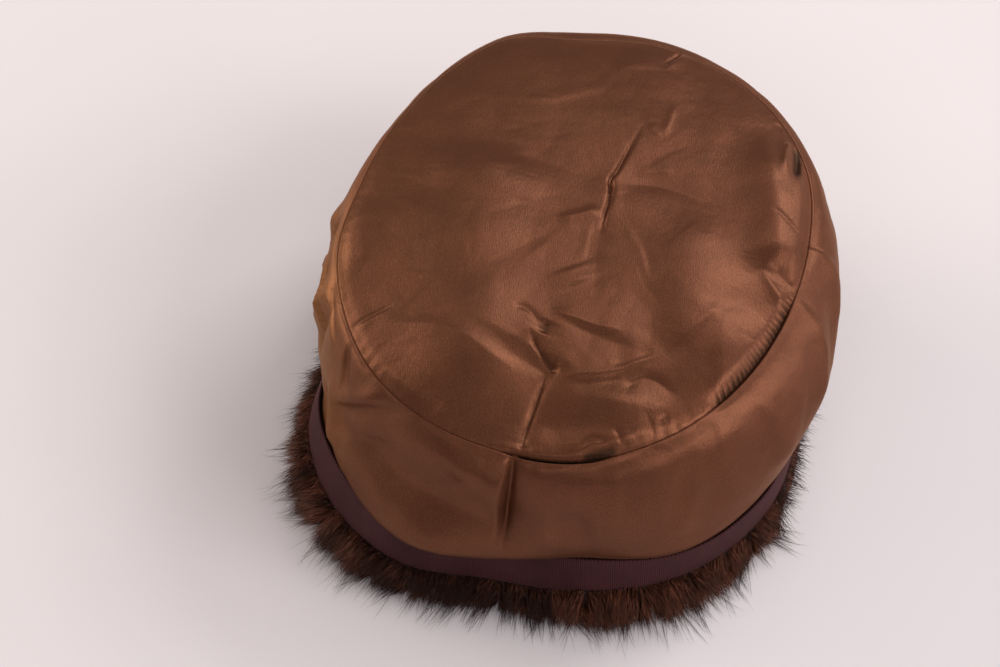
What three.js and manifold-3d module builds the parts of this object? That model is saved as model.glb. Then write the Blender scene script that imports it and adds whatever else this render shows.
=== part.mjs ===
// A fur beret turned inside out. It stands on its fur edge, with its satin lining outside and its fur
// inside, and its head opening faces down.
// Sizes are in millimetres and angles in degrees. +Z is up, -Y is the near side, and angles run from +X
// towards +Y. The origin is on the floor, in the middle of the hat.
import * as THREE from "three";
import { mergeVertices } from "three/addons/utils/BufferGeometryUtils.js";
import Module from "manifold-3d";

const wasm = await Module();
wasm.setup();

// The hat's outline. Each row is an upright section at one angle, with radii from the upright axis.
// rim: lower edge of the ribbon. lean: how much smaller the ribbon's top edge is in radius than its foot.
// low, mid, high: side of the lining at LOW_Z, MID_Z and HIGH_Z. shoulder: the same just below the seam.
// seam: where the crown oval is sewn to the side. seamZ: height of that seam.
// hair: how far the longest locks of the fur edge reach outside the rim.
const SECTIONS = [
  { angle: 0, rim: 84.5, lean: 2, low: 88, mid: 96, high: 93, shoulder: 88, seam: 83, seamZ: 76, hair: 10 },
  { angle: 22.5, rim: 86.5, lean: 4, low: 91, mid: 99, high: 98, shoulder: 96, seam: 91.5, seamZ: 77.2, hair: 10 },
  { angle: 45, rim: 91, lean: 5, low: 95, mid: 103, high: 104, shoulder: 101.5, seam: 97.2, seamZ: 78, hair: 11 },
  { angle: 67.5, rim: 94, lean: 5, low: 97, mid: 104, high: 106, shoulder: 103.5, seam: 98.4, seamZ: 78.8, hair: 12 },
  { angle: 85, rim: 95, lean: 5, low: 97, mid: 102, high: 103, shoulder: 100.5, seam: 94.5, seamZ: 79, hair: 12 },
  { angle: 100, rim: 94.5, lean: 5, low: 96, mid: 99.5, high: 100, shoulder: 98.5, seam: 95, seamZ: 79.6, hair: 12 },
  { angle: 112.5, rim: 93, lean: 5, low: 94, mid: 95, high: 93, shoulder: 91, seam: 88, seamZ: 79, hair: 12 },
  { angle: 135, rim: 87.5, lean: 5, low: 87, mid: 84, high: 79, shoulder: 78.5, seam: 76, seamZ: 78.2, hair: 10 },
  { angle: 157.5, rim: 78.5, lean: 5, low: 81.5, mid: 79.3, high: 76.5, shoulder: 73.5, seam: 70, seamZ: 77, hair: 8 },
  { angle: 180, rim: 79, lean: 5, low: 79.5, mid: 79.5, high: 77, shoulder: 74.5, seam: 71.3, seamZ: 76, hair: 10 },
  { angle: 200, rim: 89.5, lean: 4.5, low: 82.5, mid: 82, high: 79, shoulder: 76.5, seam: 73.2, seamZ: 75, hair: 13 },
  { angle: 222, rim: 96, lean: 4.6, low: 94.5, mid: 88.5, high: 83, shoulder: 80, seam: 77.2, seamZ: 74, hair: 13 },
  { angle: 238, rim: 97, lean: 0.5, low: 100, mid: 92.5, high: 85.5, shoulder: 82.5, seam: 79.5, seamZ: 73.5, hair: 11 },
  { angle: 255, rim: 91.5, lean: 2.5, low: 94.8, mid: 92.5, high: 87.5, shoulder: 84.5, seam: 81.3, seamZ: 73, hair: 13 },
  { angle: 272, rim: 93, lean: 3, low: 93, mid: 93.5, high: 88.5, shoulder: 86, seam: 83.5, seamZ: 73, hair: 13 },
  { angle: 295, rim: 96.5, lean: -0.5, low: 98.5, mid: 95, high: 88, shoulder: 84.5, seam: 81.5, seamZ: 73.3, hair: 12 },
  { angle: 318, rim: 94.5, lean: 0, low: 96, mid: 94, high: 87, shoulder: 82.5, seam: 78.8, seamZ: 74, hair: 11 },
  { angle: 340, rim: 88.5, lean: 1.5, low: 92, mid: 95.5, high: 89, shoulder: 83.5, seam: 79, seamZ: 75, hair: 9 },
];
const LOW_Z = 30;
const MID_Z = 50;
const HIGH_Z = 66;
const SHOULDER_DROP = 3.2; // from the seam down to the shoulder

const SATIN = 1; // wall of the lining
const SEW_GAP = 0.3; // kept between pieces that are sewn together

const TIP_CENTRE = new THREE.Vector2(7, 6.5); // middle of the crown oval
const TIP_CENTRE_Z = 76; // mean height of its seam
const TIP_PUFF = 7.5; // how far it swells above the seam
const PUFF_POWER = 4; // how flat it stays before it turns down to the seam
const TIP_RINGS = [1, 0.965, 0.9, 0.82, 0.72, 0.6, 0.46, 0.3, 0.15];

const RIBBON = 1; // thickness of the grosgrain
const RIBBON_WIDTH = 15; // from its foot to its top edge, along the leaning band
const RIBBON_FOOT_Z = 12.6;
const HEM_GAP = 0.8; // between the ribbon's inner face and the lining behind it
const HEM_FOOT = 0.62; // share of the ribbon's width that the lining starts at, behind it

const ROLL_OUT = 2.8; // the turned fur edge reaches this far outside the rim
const ROLL_IN = 19.5; // and this far inside it
const ROLL_TOP = 14.2;

const PELT_INSET = 10.9; // from the rim inwards to the skin side of the fur
const PELT_FOOT_Z = ROLL_TOP + SEW_GAP;
const SKIN_CLEARANCE = 3.5; // between the lining's side and the skin
const FUR_DEPTH = 9; // from the skin side to the hair tips inside
const TIER_STEP = 1.6; // how far each tier of hair stands off the tier above

// Folds and dents in the crown oval, in plan. A positive height is a ridge, a negative one a dent.
const TIP_FOLDS = [
  { name: "upper crease", x0: 31, y0: 45, x1: 19, y1: 23, height: -3, width: 4.5 },
  { name: "upper crease foot", x0: 19, y0: 23, x1: 16, y1: 2, height: -2.6, width: 4.5 },
  { name: "crease lip", x0: 25, y0: 25, x1: 21, y1: 4, height: 1.6, width: 4 },
  { name: "long soft ridge", x0: -17, y0: 37, x1: 15, y1: 26, height: 1.5, width: 6 },
  { name: "tuck at the far seam", x0: 48, y0: 87, x1: 40, y1: 72, height: 2.2, width: 4 },
  { name: "star centre ridge", x0: -9, y0: -33, x1: -5, y1: -54, height: 2, width: 5 },
  { name: "star lower ridge", x0: -6, y0: -54, x1: -17, y1: -80, height: 2.4, width: 5 },
  { name: "star lower valley", x0: 3, y0: -56, x1: -7, y1: -80, height: -2, width: 5 },
  { name: "star right ridge", x0: -2, y0: -57, x1: 32, y1: -48, height: 1.8, width: 4.5 },
  { name: "star right valley", x0: 2, y0: -48, x1: 26, y1: -44, height: -1.6, width: 6 },
  { name: "pocket by the seam", x0: 4, y0: -70, x1: 13, y1: -67, height: -2.8, width: 7 },
  { name: "arch", x0: 22, y0: -64, x1: 30, y1: -59, height: -1.8, width: 5 },
  { name: "right corner ridge", x0: 66, y0: -12, x1: 75, y1: -27, height: 2.2, width: 5 },
  { name: "right soft valley", x0: 52, y0: -20, x1: 62, y1: -42, height: -1.8, width: 8 },
  { name: "left tuck", x0: -64, y0: -36, x1: -52, y1: -27, height: -1.8, width: 5 },
  { name: "left diagonal valley", x0: -33, y0: -39, x1: -9, y1: -57, height: -1.4, width: 6 },
  { name: "far right pucker", x0: 83, y0: 33, x1: 76, y1: 33, height: -3.2, width: 6 },
];

// Folds and dents in the lining's side, by angle and height. A positive depth stands out from the side.
const SIDE_FOLDS = [
  { name: "near crease ridge", a0: 260, z0: 70, a1: 256, z1: 40, height: 1.8, width: 3.5 },
  { name: "near crease valley", a0: 263, z0: 70, a1: 260, z1: 40, height: -2.4, width: 4.5 },
  { name: "near left dent", a0: 243, z0: 52, a1: 250, z1: 54, height: -2, width: 9 },
  { name: "near right dent", a0: 270, z0: 48, a1: 282, z1: 50, height: -1.6, width: 8 },
  { name: "left low ridge", a0: 213, z0: 60, a1: 219, z1: 38, height: 2.2, width: 5 },
  { name: "left low pocket", a0: 205, z0: 44, a1: 207, z1: 32, height: -3, width: 6 },
  { name: "left upper puff", a0: 165, z0: 66, a1: 159, z1: 58, height: 2.4, width: 6 },
  { name: "left upper dent", a0: 174, z0: 70, a1: 170, z1: 58, height: -2.2, width: 5 },
  { name: "right long fold", a0: 345, z0: 70, a1: 330, z1: 44, height: 1.4, width: 5 },
  { name: "right long valley", a0: 352, z0: 68, a1: 338, z1: 46, height: -1.4, width: 6 },
];

// Angles of the upright sections that the lining is built on: closer where it is creased or gathered.
const STEP = 6;
const EVEN_ANGLES = Array.from({ length: 360 / STEP }, (_, i) => i * STEP);
const CREASE_ANGLES = [256, 260, 262.5];
const GATHER_ANGLES = Array.from({ length: 9 }, (_, i) => 285 + i * STEP);
const LINING_ANGLES = [...EVEN_ANGLES, ...CREASE_ANGLES, ...GATHER_ANGLES].sort((a, b) => a - b);
const GATHER_FROM = 282;
const GATHER_TO = 342;
const GATHER_DEPTH = 0.9;
const GATHER_RING = 0.965;

const FUR_STEP = 7.5;
const FUR_ANGLES = Array.from({ length: 360 / FUR_STEP }, (_, i) => i * FUR_STEP);

const radians = THREE.MathUtils.degToRad;

// A column of SECTIONS at any angle, as a smooth closed curve through its rows.
function section(column, angle) {
  const count = SECTIONS.length;
  const turned = ((angle % 360) + 360) % 360;
  const row = SECTIONS.findLastIndex((entry) => entry.angle <= turned);
  const value = (k) => SECTIONS[(row + k + count) % count][column];
  const place = (k) => SECTIONS[(row + k + count) % count].angle + 360 * Math.floor((row + k) / count);
  const slope = (k) => (value(k + 1) - value(k)) / (place(k + 1) - place(k));
  const width = (k) => place(k + 1) - place(k);
  const tangent = (k) => (slope(k - 1) * width(k) + slope(k) * width(k - 1)) / (width(k - 1) + width(k));
  const t = (turned - place(0)) / width(0);
  const bend = t * (1 - t) * ((1 - t) * (tangent(0) - slope(0)) - t * (tangent(1) - slope(0)));
  return THREE.MathUtils.lerp(value(0), value(1), t) + bend * width(0);
}

function polar(radius, angle, z) {
  return new THREE.Vector3(radius * Math.cos(radians(angle)), radius * Math.sin(radians(angle)), z);
}

// How much a fold lifts a point that is off its line by distance, and along its length by share.
function foldLift(fold, distance, share) {
  const ends = THREE.MathUtils.smoothstep(share, -0.25, 0.25) * THREE.MathUtils.smoothstep(1 - share, -0.25, 0.25);
  return fold.height * Math.exp(-((distance / fold.width) ** 2)) * ends;
}

// Share along the line from start to end of the point nearest to p, and p's distance from the line.
function nearLine(p, start, end) {
  const line = end.clone().sub(start);
  const share = p.clone().sub(start).dot(line) / line.lengthSq();
  const held = THREE.MathUtils.clamp(share, 0, 1);
  return { share, distance: p.distanceTo(start.clone().addScaledVector(line, held)) };
}

function tipFolds(x, y) {
  const p = new THREE.Vector2(x, y);
  let lift = 0;
  for (const fold of TIP_FOLDS) {
    const near = nearLine(p, new THREE.Vector2(fold.x0, fold.y0), new THREE.Vector2(fold.x1, fold.y1));
    lift += foldLift(fold, near.distance, near.share);
  }
  return lift;
}

function sideFolds(radius, angle, z) {
  let lift = 0;
  for (const fold of SIDE_FOLDS) {
    const middle = (fold.a0 + fold.a1) / 2;
    const along = (a) => radians(a - middle) * radius;
    const near = nearLine(
      new THREE.Vector2(along(angle), z),
      new THREE.Vector2(along(fold.a0), fold.z0),
      new THREE.Vector2(along(fold.a1), fold.z1),
    );
    lift += foldLift(fold, near.distance, near.share);
  }
  return lift;
}

// Unit normals of a grid of rings, each ring running with the angle. Facing out where rings go up.
function normalsOf(rings) {
  return rings.map((ring, row) =>
    ring.map((_, i) => {
      const count = ring.length;
      const around = ring[(i + 1) % count].clone().sub(ring[(i + count - 1) % count]);
      const next = rings[Math.min(row + 1, rings.length - 1)][i];
      const along = next.clone().sub(rings[Math.max(row - 1, 0)][i]);
      return around.cross(along).normalize();
    }),
  );
}

// One closed body from rings of points. A ring of one point is a pole. Closed rings join last to first.
function ringSolid(rings, closed) {
  const points = rings.flat();
  const starts = rings.map((_, row) => rings.slice(0, row).reduce((sum, r) => sum + r.length, 0));
  const faces = [];
  const bands = closed ? rings.length : rings.length - 1;
  for (let row = 0; row < bands; row++) {
    const next = (row + 1) % rings.length;
    const count = Math.max(rings[row].length, rings[next].length);
    const at = (ring, i) => starts[ring] + (rings[ring].length === 1 ? 0 : i % count);
    for (let i = 0; i < count; i++) {
      const [a, b, c, d] = [at(row, i), at(row, i + 1), at(next, i + 1), at(next, i)];
      if (a !== b) faces.push([a, b, c]);
      if (c !== d) faces.push([a, c, d]);
    }
  }
  const volume = faces.reduce((sum, [a, b, c]) => sum + points[a].dot(points[b].clone().cross(points[c])), 0);
  const outward = volume > 0 ? faces : faces.map(([a, b, c]) => [a, c, b]);
  const geometry = new THREE.BufferGeometry();
  geometry.setAttribute("position", new THREE.Float32BufferAttribute(points.flatMap((p) => p.toArray()), 3));
  geometry.setIndex(outward.flat());
  return geometry;
}

function solidFrom(geometry) {
  const bare = new THREE.BufferGeometry().setAttribute("position", geometry.getAttribute("position"));
  bare.setIndex(geometry.index);
  const merged = mergeVertices(bare);
  const vertProperties = new Float32Array(merged.getAttribute("position").array);
  return new wasm.Manifold(new wasm.Mesh({ numProp: 3, vertProperties, triVerts: new Uint32Array(merged.index.array) }));
}

function geometryFrom(solid) {
  const mesh = solid.getMesh();
  const geometry = new THREE.BufferGeometry();
  geometry.setAttribute("position", new THREE.BufferAttribute(mesh.vertProperties, 3));
  geometry.setIndex(new THREE.BufferAttribute(mesh.triVerts, 1));
  return geometry;
}

function named(name, geometry, color, roughness, metalness = 0) {
  const shown = geometry.toNonIndexed();
  shown.computeVertexNormals();
  const mesh = new THREE.Mesh(shown, new THREE.MeshStandardMaterial({ color, roughness, metalness }));
  mesh.name = name;
  return mesh;
}

// Crown oval of the lining. It swells above its seam, and its edge lies on the side's top edge.
function tipPoint(share, angle) {
  const seam = polar(section("seam", angle), angle, section("seamZ", angle));
  const x = THREE.MathUtils.lerp(TIP_CENTRE.x, seam.x, share);
  const y = THREE.MathUtils.lerp(TIP_CENTRE.y, seam.y, share);
  const level = THREE.MathUtils.lerp(TIP_CENTRE_Z, seam.z, share ** 2);
  const edge = THREE.MathUtils.smoothstep(1 - share, 0, 0.1);
  return new THREE.Vector3(x, y, level + TIP_PUFF * (1 - share ** PUFF_POWER) + edge * tipFolds(x, y));
}

// Small gathers beside the seam: every other section dips.
function gather(ring, index, share) {
  const angle = LINING_ANGLES[index];
  if (share !== GATHER_RING || angle < GATHER_FROM || angle > GATHER_TO) return ring;
  if (index % 2) ring.z -= GATHER_DEPTH;
  return ring;
}

function liningTip() {
  const outer = TIP_RINGS.map((share) => LINING_ANGLES.map((angle, i) => gather(tipPoint(share, angle), i, share)));
  const normals = normalsOf(outer);
  const down = new THREE.Vector3(0, 0, 1);
  const inner = outer.map((ring, row) =>
    ring.map((p, i) => p.clone().addScaledVector(row === 0 ? down : normals[row][i], -SATIN)),
  );
  const top = tipPoint(0, 0);
  const under = top.clone().addScaledVector(down, -SATIN);
  return ringSolid([[top], ...outer.toReversed(), ...inner, [under]], false);
}

// Outer face of the ribbon at a share of its width, from foot to top edge.
function ribbonAt(angle, share, inset) {
  const lean = section("lean", angle);
  const rise = Math.sqrt(RIBBON_WIDTH ** 2 - lean ** 2);
  return polar(section("rim", angle) - lean * share - inset, angle, RIBBON_FOOT_Z + rise * share);
}

// Side of the lining: an upright strip that comes out from behind the ribbon and swells up to the seam.
const SIDE_STOPS = [0, 1, 1.5, 2, 2.5, 3, 3.5, 4, 5, 6];

function sideCurve(angle) {
  const hem = RIBBON + HEM_GAP;
  const clear = ribbonAt(angle, 1, hem);
  clear.z += SEW_GAP;
  return new THREE.CatmullRomCurve3(
    [
      ribbonAt(angle, HEM_FOOT, hem),
      clear,
      polar(section("low", angle), angle, LOW_Z),
      polar(section("mid", angle), angle, MID_Z),
      polar(section("high", angle), angle, HIGH_Z),
      polar(section("shoulder", angle), angle, section("seamZ", angle) - SHOULDER_DROP),
      polar(section("seam", angle), angle, section("seamZ", angle) - SATIN - SEW_GAP),
    ],
    false,
    "centripetal",
  );
}

function liningSide() {
  const last = SIDE_STOPS.at(-1);
  const columns = LINING_ANGLES.map((angle) => {
    const curve = sideCurve(angle);
    return SIDE_STOPS.map((stop) => {
      const p = curve.getPoint(stop / last);
      const radius = Math.hypot(p.x, p.y);
      const free = THREE.MathUtils.smoothstep(stop, 1, 2) * THREE.MathUtils.smoothstep(last - stop, 0, 0.6);
      return polar(radius + free * sideFolds(radius, angle, p.z), angle, p.z);
    });
  });
  const outer = SIDE_STOPS.map((_, row) => columns.map((column) => column[row]));
  const normals = normalsOf(outer);
  const inner = outer.map((ring, row) =>
    ring.map((p, i) => {
      const level = row < 2 || row === outer.length - 1;
      const direction = level ? polar(1, LINING_ANGLES[i], 0) : normals[row][i];
      return p.clone().addScaledVector(direction, -SATIN);
    }),
  );
  return ringSolid([...outer, ...inner.toReversed()], true);
}

// Ribbon: a plain band of one width that leans in or out, from the fur edge up over the lining's hem.
function headRibbon() {
  const ring = (share, inset) => EVEN_ANGLES.map((angle) => ribbonAt(angle, share, inset));
  return ringSolid([ring(0, 0), ring(1, 0), ring(1, RIBBON), ring(0, RIBBON)], true);
}

// Turned edge of the fur: a roll that the hat stands on, with locks of hair round its outside.
const ROLL_PROFILE = [
  { out: -1.2, z: RIBBON_FOOT_Z - SEW_GAP },
  { out: 1.6, z: 10.8 },
  { out: ROLL_OUT, z: 6.5 },
  { out: 1.8, z: 1.6 },
  { out: -0.5, z: 0 },
  { out: -13, z: 0 },
  { out: -17.6, z: 2.2 },
  { out: -ROLL_IN, z: 7.5 },
  { out: -18, z: 12.2 },
  { out: -15.5, z: ROLL_TOP },
  { out: -10, z: ROLL_TOP },
];

// Rows of locks: where they grow on the roll, how they point, and how wide and long they are.
const LOCK_ROWS = [
  { count: 36, start: 0, out: -1, z: 8.4, rise: 5, width: 7, reach: 0.88 },
  { count: 36, start: 5, out: -1, z: 4.4, rise: -6, width: 6.8, reach: 1 },
];
const LOCK_SWEEP = 16; // how far a lock leans along the rim, in degrees, to one side and the other
const LOCK_STATIONS = [
  { along: 0, size: 1 },
  { along: 0.66, size: 0.74 },
];
const LOCK_CORNERS = [
  { side: 1, up: 0 },
  { side: 0, up: 0.42 },
  { side: -1, up: 0 },
  { side: 0, up: -0.42 },
];

function lock(row, number) {
  const angle = row.start + (number * 360) / row.count;
  const sweep = LOCK_SWEEP * Math.sin(number * 2.4 + row.start);
  const length = (section("hair", angle) - row.out) * row.reach * (0.9 + 0.1 * Math.sin(number * 1.7 + row.z));
  const root = polar(section("rim", angle) + row.out, angle, row.z);
  const forward = polar(Math.cos(radians(row.rise)), angle + sweep, Math.sin(radians(row.rise)));
  const side = new THREE.Vector3(0, 0, 1).cross(forward).normalize();
  const up = forward.clone().cross(side).normalize();
  const rings = LOCK_STATIONS.map(({ along, size }) =>
    LOCK_CORNERS.map((corner) =>
      root
        .clone()
        .addScaledVector(forward, along * length)
        .addScaledVector(side, corner.side * size * row.width)
        .addScaledVector(up, corner.up * size * row.width),
    ),
  );
  const tip = root.clone().addScaledVector(forward, length);
  return solidFrom(ringSolid([[root.clone().addScaledVector(forward, -1)], ...rings, [tip]], false));
}

function furEdge() {
  const rings = ROLL_PROFILE.map(({ out, z }) =>
    FUR_ANGLES.map((angle) => polar(section("rim", angle) + out, angle, z)),
  );
  let solid = solidFrom(ringSolid(rings, true));
  for (const row of LOCK_ROWS) {
    for (let number = 0; number < row.count; number++) solid = solid.add(lock(row, number));
  }
  return geometryFrom(solid);
}

// Body of the fur: skin outwards, under the lining, and hair inwards in tiers of pointed locks.
// Stops run up the skin from its foot to the middle of the crown.
const PELT_STOPS = [0, 1, 2, 3, 3.6, 4.2, 5, 5.5];
const PELT_SHOULDER = 5; // from the lining's high line inwards
const PELT_CROWN_DROP = 4.5; // from the seam down to the skin's shoulder
const PELT_CENTRE_Z = 74;

function peltCurve(angle) {
  const rim = section("rim", angle);
  const [mid, high, seam] = ["mid", "high", "seam"].map((column) => section(column, angle));
  const seamZ = section("seamZ", angle);
  const foot = rim - PELT_INSET;
  return new THREE.CatmullRomCurve3(
    [
      polar(foot, angle, PELT_FOOT_Z),
      polar(foot, angle, PELT_FOOT_Z + 11),
      polar(Math.min(rim - 8, mid - SKIN_CLEARANCE - 2), angle, 44),
      polar(Math.min(rim - 5, high - PELT_SHOULDER), angle, 60),
      polar(seam - 11, angle, seamZ - PELT_CROWN_DROP),
      polar(seam - 42, angle, (seamZ + PELT_CENTRE_Z) / 2 - 2),
      new THREE.Vector3(TIP_CENTRE.x, TIP_CENTRE.y, PELT_CENTRE_Z),
    ],
    false,
    "centripetal",
  );
}

// Tiers of hair, from the mouth up to the crown: where each tier's tips and roots are along the skin.
const HAIR_TIERS = [
  { tips: 0, roots: 0.85 },
  { tips: 0.7, roots: 1.75 },
  { tips: 1.6, roots: 2.65 },
  { tips: 2.5, roots: 3.5 },
  { tips: 3.35, roots: 4.3 },
  { tips: 4.2, roots: 5.15 },
];
const TIP_ZIGZAG = 0.14; // how far every other section's tips hang past its neighbours'

function furBody() {
  const curves = FUR_ANGLES.map(peltCurve);
  const last = 6;
  const ringAt = (stop) => curves.map((curve) => curve.getPoint(stop / last));
  const outer = PELT_STOPS.map(ringAt);
  const outerNormals = normalsOf(outer);
  const depthRing = (stop, depth, zigzag) =>
    curves.map((curve, i) => {
      const here = Math.max(0, stop + (i % 2 ? zigzag : -zigzag));
      const p = curve.getPoint(here / last);
      const row = Math.min(here, PELT_STOPS.at(-1));
      const nearest = PELT_STOPS.reduce((best, s, k) => (Math.abs(s - row) < Math.abs(PELT_STOPS[best] - row) ? k : best), 0);
      return p.addScaledVector(outerNormals[nearest][i], -depth);
    });
  const inner = HAIR_TIERS.flatMap((tier, i) => [
    depthRing(tier.tips, FUR_DEPTH, i ? TIP_ZIGZAG : 0),
    depthRing(tier.roots, FUR_DEPTH - TIER_STEP, 0),
  ]);
  const apex = curves[0].getPoint(1);
  const ceiling = apex.clone().setZ(apex.z - FUR_DEPTH + TIER_STEP);
  return ringSolid([[apex], ...outer.toReversed(), ...inner, [ceiling]], false);
}

const SATIN_BROWN = 0x74472c;
const RIBBON_PLUM = 0x3f272b;
const FUR_BROWN = 0x3a2019;
const FUR_DARK = 0x2a1713;

const beret = new THREE.Group();
beret.add(
  named("lining_tip", liningTip(), SATIN_BROWN, 0.42),
  named("lining_side", liningSide(), SATIN_BROWN, 0.42),
  named("head_ribbon", headRibbon(), RIBBON_PLUM, 0.75),
  named("fur_edge", furEdge(), FUR_BROWN, 0.9),
  named("fur_body", furBody(), FUR_DARK, 0.9),
);

export default beret;
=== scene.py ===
"""A fur beret turned inside out, standing on its fur edge with its satin lining outside.

The pieces come in the order in which the hat is made up: the lining's side and crown, the ribbon over the
lining's hem, the turned fur edge that the hat stands on, and the fur on the inside. Tables are in
millimetres and degrees, with angles from +X towards +Y. The objects are in metres.
"""
import math

import bpy
import numpy as np
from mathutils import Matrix, Vector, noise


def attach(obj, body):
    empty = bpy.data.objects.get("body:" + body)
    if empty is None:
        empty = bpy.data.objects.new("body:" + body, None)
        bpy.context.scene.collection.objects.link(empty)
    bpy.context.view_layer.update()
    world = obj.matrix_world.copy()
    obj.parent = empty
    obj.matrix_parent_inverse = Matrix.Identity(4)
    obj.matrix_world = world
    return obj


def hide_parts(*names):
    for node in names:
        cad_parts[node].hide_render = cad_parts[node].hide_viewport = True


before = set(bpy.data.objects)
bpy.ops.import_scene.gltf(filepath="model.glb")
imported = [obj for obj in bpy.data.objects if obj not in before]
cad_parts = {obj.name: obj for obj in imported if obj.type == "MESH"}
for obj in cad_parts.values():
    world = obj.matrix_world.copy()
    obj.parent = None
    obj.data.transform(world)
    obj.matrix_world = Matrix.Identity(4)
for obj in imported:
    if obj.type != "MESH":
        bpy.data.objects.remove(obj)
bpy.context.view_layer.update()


# Setting
# A pale table top under soft light, most of it from the right, with a warmer one from low on the left.

def linear(code):
    """An sRGB colour written as #rrggbb, in the linear values that a shader takes."""
    parts = [int(code[k:k + 2], 16) / 255 for k in (1, 3, 5)]
    return tuple(p / 12.92 if p <= 0.04045 else ((p + 0.055) / 1.055) ** 2.4 for p in parts) + (1.0,)


def fill(tree, made, values=None, links=None):
    """Sets the values on a node's sockets and makes the links into them."""
    for socket, value in (values or {}).items():
        made.inputs[socket].default_value = value
    for socket, source in (links or {}).items():
        tree.links.new(source, made.inputs[socket])


def node(tree, kind, values=None, links=None, **settings):
    """Adds a node with its settings, the values on its sockets and the links into them."""
    made = tree.nodes.new(kind)
    for key, value in settings.items():
        setattr(made, key, value)
    fill(tree, made, values, links)
    return made


def new_material(name):
    """An empty material with its Principled shader, and the tree that holds it."""
    made = bpy.data.materials.new(name)
    made.use_nodes = True
    return made, made.node_tree, made.node_tree.nodes["Principled BSDF"]


# Matt white table top: a faint warm mottle and no gloss to speak of.
table_white, tree, shader = new_material("matt white table top")
place = node(tree, "ShaderNodeTexCoord").outputs["Object"]
mottle = node(tree, "ShaderNodeTexNoise", {"Scale": 3.0, "Detail": 3.0}, {"Vector": place})
tones = node(tree, "ShaderNodeValToRGB", links={"Fac": mottle.outputs["Fac"]})
tones.color_ramp.elements[0].position = 0.3
tones.color_ramp.elements[0].color = linear("#ded8db")
tones.color_ramp.elements[1].position = 0.7
tones.color_ramp.elements[1].color = linear("#e4dee2")
fill(tree, shader, {"Roughness": 0.85, "Specular IOR Level": 0.2}, {"Base Color": tones.outputs["Color"]})

bpy.ops.object.select_all(action="DESELECT")
bpy.ops.mesh.primitive_plane_add(size=8)
table_top = bpy.context.object
table_top.name = "table_top"
table_top.data.materials.append(table_white)

# Lights: name, place, size, power in watts, colour. Each is aimed at the hat.
LIGHTS = [
    ("window_back", (0.63, 1.34, 2.37), 1.5, 10.0, "#fffaf6"),
    ("window_corner", (2.05, 1.72, 1.94), 1.4, 46.0, "#fffaf6"),
    ("soft_right", (2.45, -0.30, 0.95), 1.6, 22.0, "#fffaf6"),
    ("soft_front", (2.80, -1.35, 2.15), 1.8, 50.0, "#fffaf8"),
    ("soft_near", (-0.30, -2.00, 1.80), 1.8, 9.0, "#fffafa"),
    ("low_left", (-2.30, 1.10, 0.70), 1.6, 48.0, "#fff1e2"),
]
for name, place, size, power, colour in LIGHTS:
    lamp = bpy.data.objects.new(name, bpy.data.lights.new(name, "AREA"))
    bpy.context.collection.objects.link(lamp)
    lamp.data.size = size
    lamp.data.energy = power
    lamp.data.color = linear(colour)[:3]
    lamp.location = place
    lamp.rotation_euler = (Vector(place) - Vector((0, 0, 0.05))).to_track_quat("Z", "Y").to_euler()

world = bpy.data.worlds.new("pale room")
world.use_nodes = True
world.node_tree.nodes["Background"].inputs["Color"].default_value = linear("#fbf6f6")
world.node_tree.nodes["Background"].inputs["Strength"].default_value = 0.32
bpy.context.scene.world = world
bpy.context.scene.view_settings.view_transform = "Standard"

# Camera: 52 degrees above the table, 0.805 m from the point it looks at.
camera = bpy.data.objects.new("camera", bpy.data.cameras.new("camera"))
bpy.context.collection.objects.link(camera)
LOOK_AT = (-0.0184, 0.02319)
ELEVATION = math.radians(52)
DISTANCE = 0.805475
camera.data.lens = 80
camera.data.sensor_width = 36
camera.location = (LOOK_AT[0], LOOK_AT[1] - DISTANCE * math.cos(ELEVATION), DISTANCE * math.sin(ELEVATION))
camera.rotation_euler = (math.pi / 2 - ELEVATION, 0, 0)
bpy.context.scene.camera = camera


# Side of the lining
# A straight strip of thin acetate satin, sewn into a ring, with its lower edge felled down behind the
# ribbon and its upper edge sewn round the crown oval. Worn inwards, it now bulges over the ribbon.

# The hat's outline, one upright section a row. rim: foot of the ribbon. lean: how much smaller the ribbon's
# top edge is in radius. low, mid, high: the side at 30, 50 and 66 mm. shoulder: just below the seam.
# Columns: angle, rim, lean, low, mid, high, shoulder, seam, seam height.
OUTLINE = np.array([
    (0, 84.5, 2, 88, 96, 93, 88, 83, 76),
    (22.5, 86.5, 4, 91, 99, 98, 96, 91.5, 77.2),
    (45, 91, 5, 95, 103, 104, 101.5, 97.2, 78),
    (67.5, 94, 5, 97, 104, 106, 103.5, 98.4, 78.8),
    (85, 95, 5, 97, 102, 103, 100.5, 94.5, 79),
    (100, 94.5, 5, 96, 99.5, 100, 98.5, 95, 79.6),
    (112.5, 93, 5, 94, 95, 93, 91, 88, 79),
    (135, 87.5, 5, 87, 84, 79, 78.5, 76, 78.2),
    (157.5, 78.5, 5, 81.5, 79.3, 76.5, 73.5, 70, 77),
    (180, 79, 5, 79.5, 79.5, 77, 74.5, 71.3, 76),
    (200, 89.5, 4.5, 82.5, 82, 79, 76.5, 73.2, 75),
    (222, 96, 4.6, 94.5, 88.5, 83, 80, 77.2, 74),
    (238, 97, 0.5, 100, 92.5, 85.5, 82.5, 79.5, 73.5),
    (255, 91.5, 2.5, 94.8, 92.5, 87.5, 84.5, 81.3, 73),
    (272, 93, 3, 93, 93.5, 88.5, 86, 83.5, 73),
    (295, 96.5, -0.5, 98.5, 95, 88, 84.5, 81.5, 73.3),
    (318, 94.5, 0, 96, 94, 87, 82.5, 78.8, 74),
    (340, 88.5, 1.5, 92, 95.5, 89, 83.5, 79, 75),
])
OUTLINE_COLUMNS = ["angle", "rim", "lean", "low", "mid", "high", "shoulder", "seam", "seam_z"]


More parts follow.
